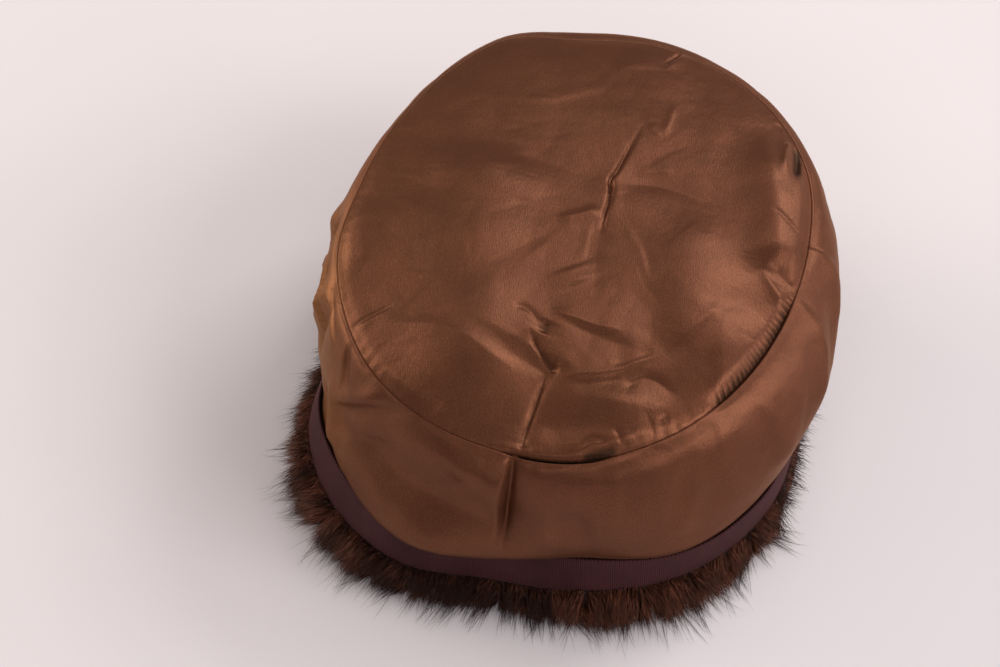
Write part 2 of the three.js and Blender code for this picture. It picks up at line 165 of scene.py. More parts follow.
def outline(column, angle):
    """One column of OUTLINE at any angles, as a smooth closed curve through its rows."""
    places = OUTLINE[:, 0]
    values = OUTLINE[:, OUTLINE_COLUMNS.index(column)]
    count = len(places)
    turned = np.mod(angle, 360)
    row = np.searchsorted(places, turned, side="right") - 1

    def value(k):
        return values[(row + k) % count]

    def place(k):
        return places[(row + k) % count] + 360 * np.floor((row + k) / count)

    def width(k):
        return place(k + 1) - place(k)

    def slope(k):
        return (value(k + 1) - value(k)) / width(k)

    def tangent(k):
        return (slope(k - 1) * width(k) + slope(k) * width(k - 1)) / (width(k - 1) + width(k))

    t = (turned - place(0)) / width(0)
    bend = t * (1 - t) * ((1 - t) * (tangent(0) - slope(0)) - t * (tangent(1) - slope(0)))
    return value(0) * (1 - t) + value(1) * t + bend * width(0)


RIBBON_WIDTH = 15
RIBBON_FOOT_Z = 12.6


def ribbon_face(angle, share, inset):
    """Radius and height on the ribbon's outer face, or inset behind it, at a share of its width up."""
    lean = outline("lean", angle)
    rise = np.sqrt(RIBBON_WIDTH ** 2 - lean ** 2)
    return outline("rim", angle) - lean * share - inset, RIBBON_FOOT_Z + rise * share


def smooth_through(points, stops):
    """Centripetal curve through points (count, columns, 2), read at stops counted in points."""
    points = np.concatenate([2 * points[:1] - points[1:2], points, 2 * points[-1:] - points[-2:-1]])
    out = []
    for stop in stops:
        k = min(int(stop), len(points) - 4)
        t = stop - k
        p0, p1, p2, p3 = points[k:k + 4]
        d0, d1, d2 = (np.sqrt(np.linalg.norm(b - a, axis=-1, keepdims=True)) for a, b in
                      ((p0, p1), (p1, p2), (p2, p3)))
        t1 = ((p1 - p0) / d0 - (p2 - p0) / (d0 + d1) + (p2 - p1) / d1) * d1
        t2 = ((p2 - p1) / d1 - (p3 - p1) / (d1 + d2) + (p3 - p2) / d2) * d1
        out.append(p1 + t1 * t + (3 * (p2 - p1) - 2 * t1 - t2) * t ** 2 + (2 * (p1 - p2) + t1 + t2) * t ** 3)
    return np.array(out)


def smoothstep(x, low, high):
    """0 up to low and 1 from high on, with a soft step between them."""
    t = np.clip((x - low) / (high - low), 0, 1)
    return t * t * (3 - 2 * t)


def stretch_of(x, start, full, ebb, end):
    """1 from full to ebb, with a soft step up from start and a soft step down to end."""
    return smoothstep(x, start, full) * (1 - smoothstep(x, ebb, end))


def round_x_y(radius, angle):
    """x and y at a radius and an angle in degrees."""
    turn = np.radians(angle)
    return radius * np.cos(turn), radius * np.sin(turn)


def run_round(radius, angle):
    """Length along a closed outline, from its first angle to each of the others."""
    x, y = round_x_y(radius, angle)
    return np.concatenate([[0], np.cumsum(np.hypot(np.diff(x), np.diff(y)))])


def spread(count, bands):
    """Angles round the ring, closer together in bands of (from, to, how many times as close)."""
    fine = np.linspace(0, 360, 7201)
    density = np.ones_like(fine)
    for start, end, times in bands:
        density += (times - 1) * stretch_of(fine, start - 6, start + 6, end - 6, end + 6)
    total = np.concatenate([[0], np.cumsum((density[1:] + density[:-1]) / 2)])
    return np.interp(np.arange(count + 1) / count * total[-1], total, fine)


def along_path(x, y, path, reach):
    """Signed distance of points from a smooth path, left of it positive, and their share of its length.

    Only the points within reach are worked out; picked says which they are.
    """
    path = np.array(path, dtype=float)
    line = smooth_through(path[:, None, :], np.linspace(0, len(path) - 1, 6 * (len(path) - 1) + 1))[:, 0]
    picked = ((x > line[:, 0].min() - reach) & (x < line[:, 0].max() + reach)
              & (y > line[:, 1].min() - reach) & (y < line[:, 1].max() + reach))
    px, py = x[picked], y[picked]
    best = np.full(px.shape, 1e9)
    side = np.zeros_like(px)
    share = np.zeros_like(px)
    for k in range(len(line) - 1):
        step = line[k + 1] - line[k]
        t = np.clip(((px - line[k, 0]) * step[0] + (py - line[k, 1]) * step[1]) / (step @ step), 0, 1)
        dx = px - line[k, 0] - t * step[0]
        dy = py - line[k, 1] - t * step[1]
        far = np.hypot(dx, dy)
        near = far < best
        best = np.where(near, far, best)
        side = np.where(near, step[0] * dy - step[1] * dx, side)
        share = np.where(near, (k + t) / (len(line) - 1), share)
    return picked, best * np.sign(side), share


def fold_lift(x, y, folds):
    """How much round folds lift each point (x, y), in mm.

    A fold runs smoothly through the points of its path. It is positive for a ridge and negative for a
    dent, and falls away to its left and right, seen along the path, over its left and right widths. A
    sharpness of 1 gives a pressed crease and 2 a round fold.
    """
    lift = np.zeros_like(x)
    for _, height, left, right, sharpness, path in folds:
        picked, away, share = along_path(x, y, path, 3.5 * max(left, right))
        width = np.where(away > 0, left, right)
        ends = smoothstep(share, -0.02, 0.3) * smoothstep(1 - share, -0.02, 0.3)
        lift[picked] += height * ends * np.exp(-(np.abs(away) / width) ** sharpness)
    return lift


def lap_lift(x, y, laps):
    """How much laps lift each point (x, y), in mm. A lap is a crease whose left side lies over its right.

    The cloth rises over the left width to a lip of the given height, drops across the crease, runs in
    under the lip as deep as the undercut, and comes level again over the right width.
    """
    lift = np.zeros_like(x)
    for _, height, left, right, crease, undercut, path in laps:
        picked, away, share = along_path(x, y, path, 4 * max(left, right))
        ends = smoothstep(share, -0.02, 0.25) * smoothstep(1 - share, -0.02, 0.25)
        step = np.tanh(away / crease)
        body = np.where(away > 0, height * np.exp(-(np.abs(away) / left) ** 1.2),
                        0.45 * height * np.exp(-(np.abs(away) / right) ** 1.2))
        gap = undercut * np.exp(-((away + 1.1 * crease) / (1.15 * crease)) ** 2)
        lift[picked] += ends * (step * body - gap)
    return lift


def soft_noise(x, y, wave, seed):
    """Smooth noise of about -1 to 1 over a plane, with the given wavelength in mm."""
    return np.array([noise.noise(Vector((a / wave, b / wave, seed))) for a, b in
                     zip(x.ravel(), y.ravel())]).reshape(x.shape)


def vertex_places(mesh):
    """Places of a mesh's vertices, one a row."""
    at = np.empty(len(mesh.vertices) * 3)
    mesh.vertices.foreach_get("co", at)
    return at.reshape(-1, 3)


def lay_on_cloth(mesh, flat):
    """Makes each vertex's place on the cut cloth, in mm, the mesh's UV map cut, one unit a metre."""
    corner = np.empty(len(mesh.loops), dtype=np.int32)
    mesh.loops.foreach_get("vertex_index", corner)
    mesh.uv_layers[0].name = "cut"
    mesh.uv_layers[0].data.foreach_set("uv", (flat[corner] / 1000).ravel())


def ring_grid(name, points, flat=None):
    """A primitive grid whose points are moved to points (rows, columns, 3) in mm, closed along its rows.

    The first and last columns are the same, and so are the first and last rows of a closed section. flat
    gives each point's place on the cut cloth in mm.
    """
    rows, columns = points.shape[:2]
    bpy.ops.object.select_all(action="DESELECT")
    bpy.ops.mesh.primitive_grid_add(x_subdivisions=columns - 1, y_subdivisions=rows - 1, size=2)
    piece = bpy.context.object
    piece.name = name
    mesh = piece.data
    at = vertex_places(mesh)
    column = np.rint((at[:, 0] + 1) / 2 * (columns - 1)).astype(int)
    row = np.rint((at[:, 1] + 1) / 2 * (rows - 1)).astype(int)
    mesh.vertices.foreach_set("co", (points[row, column] / 1000).ravel())
    if flat is not None:
        lay_on_cloth(mesh, flat[row, column])
    mesh.update()
    bpy.ops.object.mode_set(mode="EDIT")
    bpy.ops.mesh.select_all(action="SELECT")
    bpy.ops.mesh.remove_doubles(threshold=1e-6)
    bpy.ops.mesh.normals_make_consistent(inside=False)
    bpy.ops.mesh.delete_loose(use_verts=True, use_edges=True, use_faces=False)
    bpy.ops.object.mode_set(mode="OBJECT")
    bpy.ops.object.shade_smooth()
    return piece


def give_wall(piece, thickness, outwards):
    """Gives an open sheet its thickness, inwards from the side that faces along outwards(place)."""
    face = piece.data.polygons[len(piece.data.polygons) // 2]
    if face.normal.dot(outwards(face.center)) < 0:
        piece.data.flip_normals()
    wall = piece.modifiers.new("wall", "SOLIDIFY")
    wall.thickness = thickness / 1000
    wall.offset = -1
    bpy.ops.object.modifier_apply(modifier="wall")


# Folds in the side. Columns: name, height, left width, right width, sharpness, path of (angle, height).
SIDE_FOLDS = [
    ("near crease bulge", 3.4, 20, 1.8, 1.6, [(257, 34), (257.4, 50), (257.9, 62), (258.6, 78)]),
    ("near crease valley", -2.6, 2.2, 5.4, 1.3, [(259, 32), (259.3, 50), (259.7, 62), (260.3, 79)]),
    ("near crease groove", -1.2, 0.9, 1.2, 1.6, [(259, 34), (259.3, 50), (259.7, 62), (260.3, 79)]),
    ("near left dent", -5.0, 13, 8, 1.8, [(220, 50), (236, 50), (250, 50), (269, 52)]),
    ("near left spot", -0.98, 5, 5, 1.8, [(243, 66), (247, 60), (250, 56)]),
    ("near left light", 0.5, 3, 4, 1.8, [(247, 62), (251, 68), (254, 73)]),
    ("near hem roll", 0.8, 5, 5, 2, [(236, 35), (248, 36), (262, 36)]),
    ("near right dent", -2.1, 8, 8, 2, [(267, 48), (277, 50)]),
    ("near right light", 0.6, 2.5, 3, 1.7, [(264, 69), (268, 71.5), (272, 71.5)]),
    ("near right edge", 0.84, 2.5, 9, 1.6, [(280.5, 44), (281, 60), (282, 75)]),
    ("near right streak", 0.84, 4, 4, 1.8, [(291, 37), (296, 50), (301, 62)]),
    ("left ray valley", -2.0, 2.4, 3.6, 1.4, [(208, 44), (217, 55), (227, 66), (236, 74.5)]),
    ("left ray ridge", 1.6, 3, 2.5, 1.5, [(210, 50), (219, 63), (227, 73)]),
    ("left second ray", -1.7, 2.8, 3.4, 1.4, [(211, 44), (221, 50), (234, 58)]),
    ("left third ray", -0.6, 2.6, 3.0, 1.5, [(214, 40), (222, 42), (231, 46)]),
    ("left lit roll", 2.0, 3.5, 4.5, 1.7, [(215, 32), (211.5, 45), (208, 58)]),
    ("left low pocket", -2.4, 5, 5, 2, [(203, 46), (206, 32)]),
    ("left slit ray", -0.98, 2.0, 2.4, 1.5, [(209, 73), (213, 66), (216.5, 60)]),
    ("left upper puff", 2.4, 6, 6, 2, [(166, 68), (158, 56)]),
    ("left upper dent", -2.2, 4, 5, 1.7, [(174, 73), (172, 66), (169, 56)]),
    ("left middle roll", 1.8, 4, 4, 1.6, [(192, 74), (188, 60), (186, 44)]),
    ("left middle dent", -1.8, 3, 4, 1.5, [(198, 74), (195, 60), (194, 44)]),
    ("near right spot", -0.5, 4, 3, 2, [(300, 69), (306, 67)]),
    ("near right drape", 0.7, 7, 5, 2, [(304, 68), (306, 50), (304, 38)]),
    ("right corner line", 0.45, 2.0, 2.6, 1.5, [(316, 74), (318.5, 66), (321, 56)]),
    ("right corner drape", 0.9, 5, 7, 2, [(321, 62), (322, 50), (319, 38)]),
    ("right long fold", 1.3, 4, 4, 1.8, [(344, 75), (340, 60), (331, 43)]),
    ("right long valley", -1.3, 5, 5, 1.8, [(353, 72), (348, 58), (338, 45)]),
    ("right second fold", 1.0, 3, 3, 1.8, [(359, 74), (356, 64), (349, 50)]),
    ("far right drape", 1.4, 5, 6, 2, [(24, 72), (22, 58), (25, 40)]),
    ("far right valley", -1.4, 5, 5, 2, [(34, 74), (33, 60), (30, 42)]),
    ("far drape", 1.3, 6, 4, 2, [(58, 72), (60, 56), (57, 40)]),
    ("far valley", -1.2, 5, 5, 2, [(70, 74), (69, 58), (72, 44)]),
    ("far left drape", 1.4, 5, 6, 2, [(92, 72), (94, 56), (92, 38)]),
    ("far left valley", -1.3, 6, 5, 2, [(106, 72), (104, 56), (108, 42)]),
    ("back corner drape", 1.2, 5, 5, 2, [(124, 70), (127, 56), (124, 40)]),
    ("back corner valley", -1.2, 5, 4, 2, [(140, 72), (138, 58), (141, 42)]),
]
# Laps in the side, the left side over the right. Columns: name, height, left width, right width, crease,
# undercut, path of (angle, height).
SIDE_LAPS = [
    ("left lit band", 1.2, 5, 4, 0.8, 0.5, [(197, 54), (188, 63), (180, 73)]),
    ("left lower band", 0.8, 4, 4, 0.8, 0.3, [(206, 66), (198, 70), (190, 73)]),
    ("left puff edge", 1.2, 4, 3, 0.7, 0.6, [(178, 58), (172, 64), (167, 74)]),
    ("left slit fold", 0.6, 3, 3, 0.7, 0.3, [(213, 58), (212, 65), (209, 72)]),
    ("right upper line", 0.7, 4, 4, 0.7, 0.3, [(341, 56), (343.5, 66), (345, 76)]),
    ("right far line", 0.7, 4, 4, 0.7, 0.3, [(357, 56), (359.5, 66), (361, 76)]),
    ("near right line", 0.35, 5, 5, 1.2, 0.0, [(290, 40), (292, 54), (296, 66)]),
    ("right soft line", 0.4, 5, 5, 1.2, 0.0, [(325, 46), (330, 58), (338, 70)]),
    ("far right lap", 0.8, 5, 5, 0.9, 0.3, [(44, 44), (46, 58), (44, 76)]),
    ("far lap", 0.8, 5, 5, 0.9, 0.3, [(82, 44), (81, 60), (84, 76)]),
    ("back lap", 0.8, 5, 5, 0.9, 0.3, [(117, 42), (115, 58), (117, 76)]),
    ("back left lap", 0.7, 5, 5, 0.9, 0.3, [(150, 40), (149, 58), (152, 74)]),
]

# Puckers along the crown's seam, on both sides of it, where its machine stitches draw the cloth in.
# Columns: from angle, to angle, pitch along the seam, depth, reach from the seam.
PUCKERS = [
    (-10, 370, 4.7, 0.07, 2.5),
    (205, 250, 5.6, 0.08, 3.0),
    (250, 282, 3.9, 0.14, 3.0),
]


def seam_puckers(angle, along, away, table):
    """How far a table's puckers draw the cloth down, at a length along the seam and a distance from it."""
    depth = np.zeros_like(along)
    level = np.zeros_like(along)
    for start, end, pitch, deep, reach in table:
        band = stretch_of(angle, start, start + 8, end - 8, end)
        drift = soft_noise(along, level, 5 * pitch, 3.1 + pitch)
        strength = 0.45 + 0.55 * np.abs(soft_noise(along, level, 3.3 * pitch, 9.7 + deep))
        wave = 0.5 - 0.5 * np.cos(2 * np.pi * (along / pitch + 0.8 * drift))
        depth += band * deep * 2 * strength * wave * np.exp(-(away / reach) ** 1.3)
    return depth


def seam_gapes(angle):
    """How far the crown's seam has pulled apart: most in front, and less at its gathered corner."""
    turned = np.mod(angle, 360)
    return 0.8 * stretch_of(turned, 256, 262, 276, 283) + 0.5 * stretch_of(turned, 304, 312, 338, 346)


def seam_shows(angle):
    """How far the crown's seam lies open, near and far. It is least where the crown swells over it."""
    turned = np.mod(angle, 360)
    near = stretch_of(turned, 192, 216, 338, 350)
    far = stretch_of(turned, 36, 60, 122, 140)
    return 0.12 + 0.42 * near + 0.7 * far + 1.6 * seam_gapes(turned)


SIDE_COLUMNS = 440
SATIN = 0.6  # thickness of the lining's sheets
HEM_INSET = 1.8  # the hem lies this far behind the ribbon's outer face
SEAM_DROP = 0.75
SIDE_RADIUS = 88  # turns the angles of the side's folds into lengths round it
CUT_RADIUS = 92  # turns the side's angles into lengths along the cut strip
LAST_STOP = 6

side_angles = spread(SIDE_COLUMNS, [(252, 268, 2.6), (282, 346, 1.5), (196, 222, 1.6)])
side_stops = np.concatenate([
    np.linspace(0, 1, 4)[:-1],
    np.linspace(1, 5, 42)[:-1],
    np.linspace(5, LAST_STOP, 12),
])
hem_foot = ribbon_face(side_angles, 0.62, HEM_INSET)
hem_top = ribbon_face(side_angles, 1, HEM_INSET)
seam_r = outline("seam", side_angles)
seam_z = outline("seam_z", side_angles)
turning = np.array([
    hem_foot,
    (hem_top[0], hem_top[1] + 0.3),
    (outline("low", side_angles), np.full_like(seam_r, 30)),
    (outline("mid", side_angles), np.full_like(seam_r, 50)),
    (outline("high", side_angles), np.full_like(seam_r, 66)),
    (outline("shoulder", side_angles), seam_z - 3.2),
    (seam_r + 0.55, seam_z - SEAM_DROP * seam_shows(side_angles)),
]).transpose(0, 2, 1)
curve = smooth_through(turning, side_stops)
radius, height = curve[..., 0], curve[..., 1]
stop_grid = np.repeat(side_stops[:, None], len(side_angles), axis=1)
angle_grid = np.repeat(side_angles[None, :], len(side_stops), axis=0)
along_seam = np.repeat(run_round(seam_r, side_angles)[None, :], len(side_stops), axis=0)

# Drawn in behind the ribbon's top edge at its corners. Columns: angle, how far at a height of 30 mm.
HEM_DRAW = np.array([
    (0, 0.5), (30, 0.0), (196, 0.0), (208, 1.2), (222, 2.6), (236, 2.6), (246, 1.0), (262, 0.4),
    (275, 1.2), (290, 0.6), (310, 0.8), (322, 1.8), (334, 2.6), (346, 1.8), (360, 0.5),
])
above_hem = smoothstep(stop_grid, 1, 2)
drawn_in = np.interp(angle_grid, HEM_DRAW[:, 0], HEM_DRAW[:, 1])
radius = radius - drawn_in * above_hem * (1 - smoothstep(height, 32, 46))

# Each fold is laid three times, a whole turn apart, so that those near 0 degrees close round the ring.
arc = np.radians(angle_grid) * SIDE_RADIUS
lift = np.zeros_like(radius)
for shift in (-360, 0, 360):
    for table, lifted_by in ((SIDE_FOLDS, fold_lift), (SIDE_LAPS, lap_lift)):
        lift += lifted_by(arc, height, [
            (*row[:-1], [(math.radians(a + shift) * SIDE_RADIUS, z) for a, z in row[-1]]) for row in table])
NOISE_RADIUS = 46  # the unevenness is read on a smaller ring, so that it closes too
turn_x, turn_y = round_x_y(NOISE_RADIUS, angle_grid)
turn_y = turn_y + 0.8 * height
lift += 1.0 * soft_noise(turn_x, turn_y, 19, 0.4) + 0.5 * np.abs(soft_noise(turn_x, turn_y, 10, 8.8))
lift += 0.10 * soft_noise(turn_x, turn_y, 4.5, 4.2)
away = np.abs(seam_z[None, :] - height) * 1.3
radius = radius + above_hem * smoothstep(LAST_STOP - stop_grid, 0, 0.45) * lift
pucker = seam_puckers(angle_grid, along_seam, away, PUCKERS) * smoothstep(stop_grid, 3.5, 5)
radius = radius - 0.6 * pucker
height = height - 0.6 * pucker

# The seam allowance turns in and down under the crown's edge.
edge_radius, edge_height = radius[-1], height[-1]
for inset, drop in ((0.5, 0.15), (1.1, 0.5), (1.7, 1.25)):
    radius = np.vstack([radius, edge_radius - inset])
    height = np.vstack([height, edge_height - drop - 0.8 * inset * seam_gapes(side_angles)])
    angle_grid = np.vstack([angle_grid, side_angles])
side_points = np.stack([*round_x_y(radius, angle_grid), height], -1)
run = np.linalg.norm(np.diff(side_points, axis=0), axis=-1)
up_cloth = np.vstack([np.zeros((1, run.shape[1])), np.cumsum(run, axis=0)])
side_flat = np.stack([np.radians(angle_grid) * CUT_RADIUS, up_cloth], -1)

lining_side = ring_grid("satin_side", side_points, side_flat)
give_wall(lining_side, SATIN, lambda place: Vector((place.x, place.y, 0)))

# Acetate satin: long floats of bright yarn in one direction over dull weft, so the gloss is stretched
# across the yarn and takes the yarn's brown. The floats are under 0.1 mm and are drawn at 0.35 mm.
satin, tree, shader = new_material("brown acetate satin")
cloth = node(tree, "ShaderNodeUVMap", uv_map="cut").outputs["UV"]
# The brown runs a little more golden on the left and redder on the right. The lining's far left edge is
# painted a lighter golden brown: painted light, for the low light from the left that falls on that side.
place = node(tree, "ShaderNodeTexCoord").outputs["Object"]
to_right = node(tree, "ShaderNodeSeparateXYZ", links={"Vector": place}).outputs["X"]
faded = node(tree, "ShaderNodeMapRange", {"From Min": -0.1, "From Max": 0.07, "To Min": -0.4, "To Max": 0.2},
             {"Value": to_right})
tint = node(tree, "ShaderNodeTexNoise", {"Scale": 24.0, "Detail": 3.0}, {"Vector": cloth})
faded = node(tree, "ShaderNodeMath", links={0: faded.outputs["Result"], 1: tint.outputs["Fac"]},
             operation="ADD")
brown = node(tree, "ShaderNodeValToRGB", links={"Fac": faded.outputs["Value"]})
brown.color_ramp.elements[0].position = 0.0
brown.color_ramp.elements[0].color = linear("#603826")
brown.color_ramp.elements[1].position = 0.75
brown.color_ramp.elements[1].color = linear("#5d3425")
# Painted light: the base colour turns lighter and golden where X is below -0.066 m, at the lining's left
# edge.
painted_left_light = node(tree, "ShaderNodeMapRange", {"From Min": -0.066, "From Max": -0.084, "To Max": 0.85},
              {"Value": to_right})
dyed_and_painted_light = node(tree, "ShaderNodeMix", {"B": linear("#855730")},
            {"Factor": painted_left_light.outputs["Result"], "A": brown.outputs["Color"]}, data_type="RGBA")
# Wear in patches of about 13 mm, the grain of yarns drawn at 0.7 mm, and painted shade in the folds and
# gathers that the crown's mesh marks.
worn = node(tree, "ShaderNodeTexNoise", {"Scale": 75.0, "Detail": 5.0, "Roughness": 0.6}, {"Vector": cloth})
worn = node(tree, "ShaderNodeMapRange", {"From Min": 0.25, "From Max": 0.75, "To Min": 0.82, "To Max": 1.14},
            {"Value": worn.outputs["Fac"]})
grain = node(tree, "ShaderNodeTexNoise", {"Scale": 1500.0, "Detail": 2.0}, {"Vector": cloth})
grain = node(tree, "ShaderNodeMapRange", {"From Min": 0.25, "From Max": 0.75, "To Min": 0.78, "To Max": 1.22},
             {"Value": grain.outputs["Fac"]})
# Painted shade: the crown's folds and gathers marked in its mesh are darkened down to 0.22 of their colour.
painted_fold_shade = node(tree, "ShaderNodeAttribute", attribute_name="painted_fold_shade", attribute_type="GEOMETRY")
painted_fold_shade = node(tree, "ShaderNodeMapRange", {"To Min": 1.0, "To Max": 0.22}, {"Value": painted_fold_shade.outputs["Fac"]})
for share in (worn, grain, painted_fold_shade):
    dyed_and_painted_light = node(tree, "ShaderNodeMix", {"Factor": 1.0},
                {"A": dyed_and_painted_light.outputs["Result"], "B": share.outputs["Result"]},
                data_type="RGBA", blend_type="MULTIPLY")
stretched = node(tree, "ShaderNodeMapping", {"Scale": (2900.0, 420.0, 1.0)}, {"Vector": cloth})
floats = node(tree, "ShaderNodeTexNoise", {"Scale": 1.0, "Detail": 2.0, "Roughness": 0.6},
              {"Vector": stretched.outputs["Vector"]})
floats = node(tree, "ShaderNodeBump", {"Strength": 0.60, "Distance": 0.00015},
              {"Height": floats.outputs["Fac"]})
rumples = node(tree, "ShaderNodeTexNoise", {"Scale": 210.0, "Detail": 3.0, "Roughness": 0.55},
               {"Vector": cloth})
rumples = node(tree, "ShaderNodeBump", {"Strength": 0.22, "Distance": 0.0007},
               {"Height": rumples.outputs["Fac"], "Normal": floats.outputs["Normal"]})
yarn = node(tree, "ShaderNodeTangent", direction_type="UV_MAP", uv_map="cut")
fill(tree, shader, {
    "Metallic": 0.6,
    "Roughness": 0.42,
    "Anisotropic": 0.45,
    "Specular IOR Level": 0.85,
    "Specular Tint": linear("#eabf96"),
    "Sheen Weight": 0.12,
    "Sheen Roughness": 0.3,
    "Sheen Tint": linear("#c79a78"),
}, {
    "Base Color": dyed_and_painted_light.outputs["Result"],
    "Normal": rumples.outputs["Normal"],
    "Tangent": yarn.outputs["Tangent"],
})

lining_side.data.materials.append(satin)
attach(lining_side, "root")
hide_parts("lining_side")


# Crown of the lining
# An oval of the same satin, sewn face to face with the side and turned out. It is a little large for its
# seam and was folded away for years, so it is creased and drawn up in gathers at its right corner.

# Round folds in the crown, in plan. Columns: name, height, left width, right width, sharpness, path.
TIP_FOLDS = [
    ("left rise", 4.2, 26, 17, 2, [(-27, -78), (-28, -54), (-29, -12), (-25, 23), (-21, 40)]),
    ("middle valley", -0.6, 9, 4, 1.5, [(11, -33), (13.5, -3.5), (16.5, 8)]),
    ("right rise", 1.9, 12, 14, 2, [(42, -62), (43, -37), (44, -9), (48, 9.5)]),
    ("right broad valley", -1.1, 7.8, 7.2, 1.25, [(18, 20), (34, 20.5), (48, 15), (62, 10)]),
    ("upper V right", 0.42, 1.8, 1.3, 1.5, [(36.5, 41.5), (39.5, 50), (42, 59)]),
    ("upper V left", 0.35, 1.8, 1.3, 1.5, [(32, 48.5), (34, 44.5), (36.5, 41.5)]),
    ("long valley", -0.7, 4.5, 6, 1.4, [(-17, 34.5), (-5, 31.5), (6.5, 27), (18, 22.5)]),
    ("light line", 0.2, 1.4, 2.2, 1.5, [(-25, 27.5), (-18.5, 28.5), (-11, 27.5)]),
    ("branch", 0.84, 1.8, 4.5, 1.5, [(0, 5.5), (8, 7.5), (15.5, 11)]),
    ("right thin ridge", 0.3, 3, 1.6, 1.5, [(26.5, 25.5), (33.5, 26.5), (40.5, 27)]),
    ("far light streak", 0.5, 3.6, 4.8, 1.25, [(20, 74), (32, 79), (42, 81)]),
    ("star upper valley", -1.1, 5, 4.5, 1.2, [(0.5, -54), (-3, -51.5), (-6.5, -46), (-9.5, -39.5)]),
    ("star upper groove", -0.8, 0.8, 0.8, 1.6, [(0.5, -54), (-3, -51.5), (-6.5, -46), (-9.5, -39.5)]),
    ("star hook", -0.45, 1.3, 1.1, 1.6, [(-14.5, -32), (-11, -31.5), (-7.5, -34.5), (-6, -38)]),
    ("star stem valley", -0.8, 3, 4.0, 1.2, [(-13, -84), (-10.5, -73), (-8, -66), (-5.5, -58.5), (-3, -53)]),
    ("star stem slope", -2.6, 16, 5.5, 1.4, [(-13, -84), (-8, -66), (-4, -55), (-1, -49)]),
    ("star stem groove", -0.8, 0.9, 1.2, 1.6,
     [(-13, -86), (-10.5, -73), (-8, -66), (-5.5, -58.5), (-3, -52)]),
    ("star right ridge", 0.8, 2.6, 1.2, 1.3, [(-3, -55.5), (8.5, -55.8), (16, -55), (25, -51), (34, -46.5)]),
    ("star right valley below", -0.45, 2.4, 6, 1.5, [(3, -58), (12, -58.5), (20, -57)]),
    ("star right valley above", -0.6, 2.9, 3.4, 1.4, [(16, -52.5), (23, -50), (31, -45.5)]),
    ("panel ridge", 0.77, 3, 0.9, 1.2, [(-3, -31.5), (4, -35), (13, -38.5), (21.5, -40)]),
    ("panel valley", -0.9, 3.2, 6, 1.4, [(1, -36), (10, -40.5), (18, -44), (25, -46)]),
    ("panel corner", -1.12, 2.2, 2.9, 1.25, [(-5.5, -41), (-3, -36)]),
    ("pad at the seam", 2.4, 9, 15, 1.8, [(13, -92), (15, -78), (17, -67), (19, -57)]),
    ("dimple", -1.8, 9.5, 6.5, 1.8, [(-9, -71), (1, -72), (11, -72.5), (24, -74)]),
    ("seam pucker arc", -0.7, 0.9, 0.9, 1.6, [(4.5, -81), (9.5, -76.8), (16, -79)]),
    ("seam hole", -2.2, 1.3, 1.2, 1.6, [(5.5, -82.5), (12.5, -81.5), (19, -79.5)]),
    ("left seam gather", -0.5, 1.0, 0.7, 1.4, [(16.2, -73), (18.4, -76.5), (18.9, -81)]),
    ("middle seam gather", -0.25, 1.6, 0.9, 1.4, [(20.5, -73), (22.5, -75.5), (25.5, -77.5)]),
    ("right seam gather", -0.45, 0.9, 1.3, 1.4, [(26.0, -67.5), (29.0, -73.5), (29.5, -79)]),
    ("arch", -0.6, 1.6, 2.0, 1.5,
     [(20.5, -64.5), (22.5, -58.5), (26, -56), (29.5, -56.5), (33.5, -59), (37, -62.5)]),
    ("small arch", -0.5, 1.1, 1.4, 1.5, [(30.5, -72), (32, -69.5), (34.5, -69)]),
    ("near middle valley", -1.12, 7, 7, 2, [(26, -18), (31, -36), (34, -53)]),
    ("near middle pad", 0.6, 7, 7, 2, [(4, -14), (8, -22)]),
    ("long left fold", 0.8, 3, 9, 1.3, [(-63, -33), (-44, -37), (-30, -43), (-21, -50), (-9, -57)]),
    ("left seam pocket", -0.6, 2.2, 2.2, 1.25, [(-43, -70), (-38, -67), (-34, -64)]),
    ("left slit", -1.6, 1, 1, 1.5, [(-69, -35), (-66.5, -39), (-63.5, -44)]),
    ("left edge roll", 0.8, 7.2, 7.2, 1.25, [(-62, 20), (-64, 4), (-62, -12)]),
    ("diagonal ridge", 0.7, 7, 1.8, 1.5, [(33, -47.5), (45, -36.5), (52, -28.5)]),
    ("upright rise", 0.9, 4, 8, 1.7, [(51, -66), (52, -44), (54.5, -26)]),
    ("right low roll", 0.9, 9, 9, 1.8, [(78, -10), (74, -24), (67, -40), (57, -55), (46, -66)]),
    ("right corner ridge", 0.9, 1.9, 2.2, 1.5, [(66, -13), (70, -20), (74.5, -28)]),
    ("right corner valley", -0.9, 2.6, 2.4, 1.25, [(69, -10), (74, -15), (79, -20)]),
    ("right corner hollow", -0.3, 7, 7, 1.8, [(56, -21), (63, -26), (69, -30)]),
    ("right facet line", -0.45, 0.9, 0.9, 1.5, [(71, 11), (76, 6), (82, 0)]),
    ("right edge facet", 4.2, 13, 9, 1.6, [(71.5, 50), (73, 30), (73.5, 8), (72.5, -6), (70, -17)]),
    ("far right notch", -2.6, 1.5, 1.4, 1.7, [(83, 44), (82, 35), (80.5, 25)]),
    ("far right hook", 1.2, 1.4, 1.2, 1.5, [(82, 48), (79, 41), (77.5, 34), (77, 26)]),
    ("far right spot", -0.9, 1.2, 1.2, 1.6, [(76, 54), (79.5, 50), (81, 46)]),
    ("left far soft", -0.6, 7, 9, 2, [(-40, 52), (-44, 30), (-46, 8)]),
]
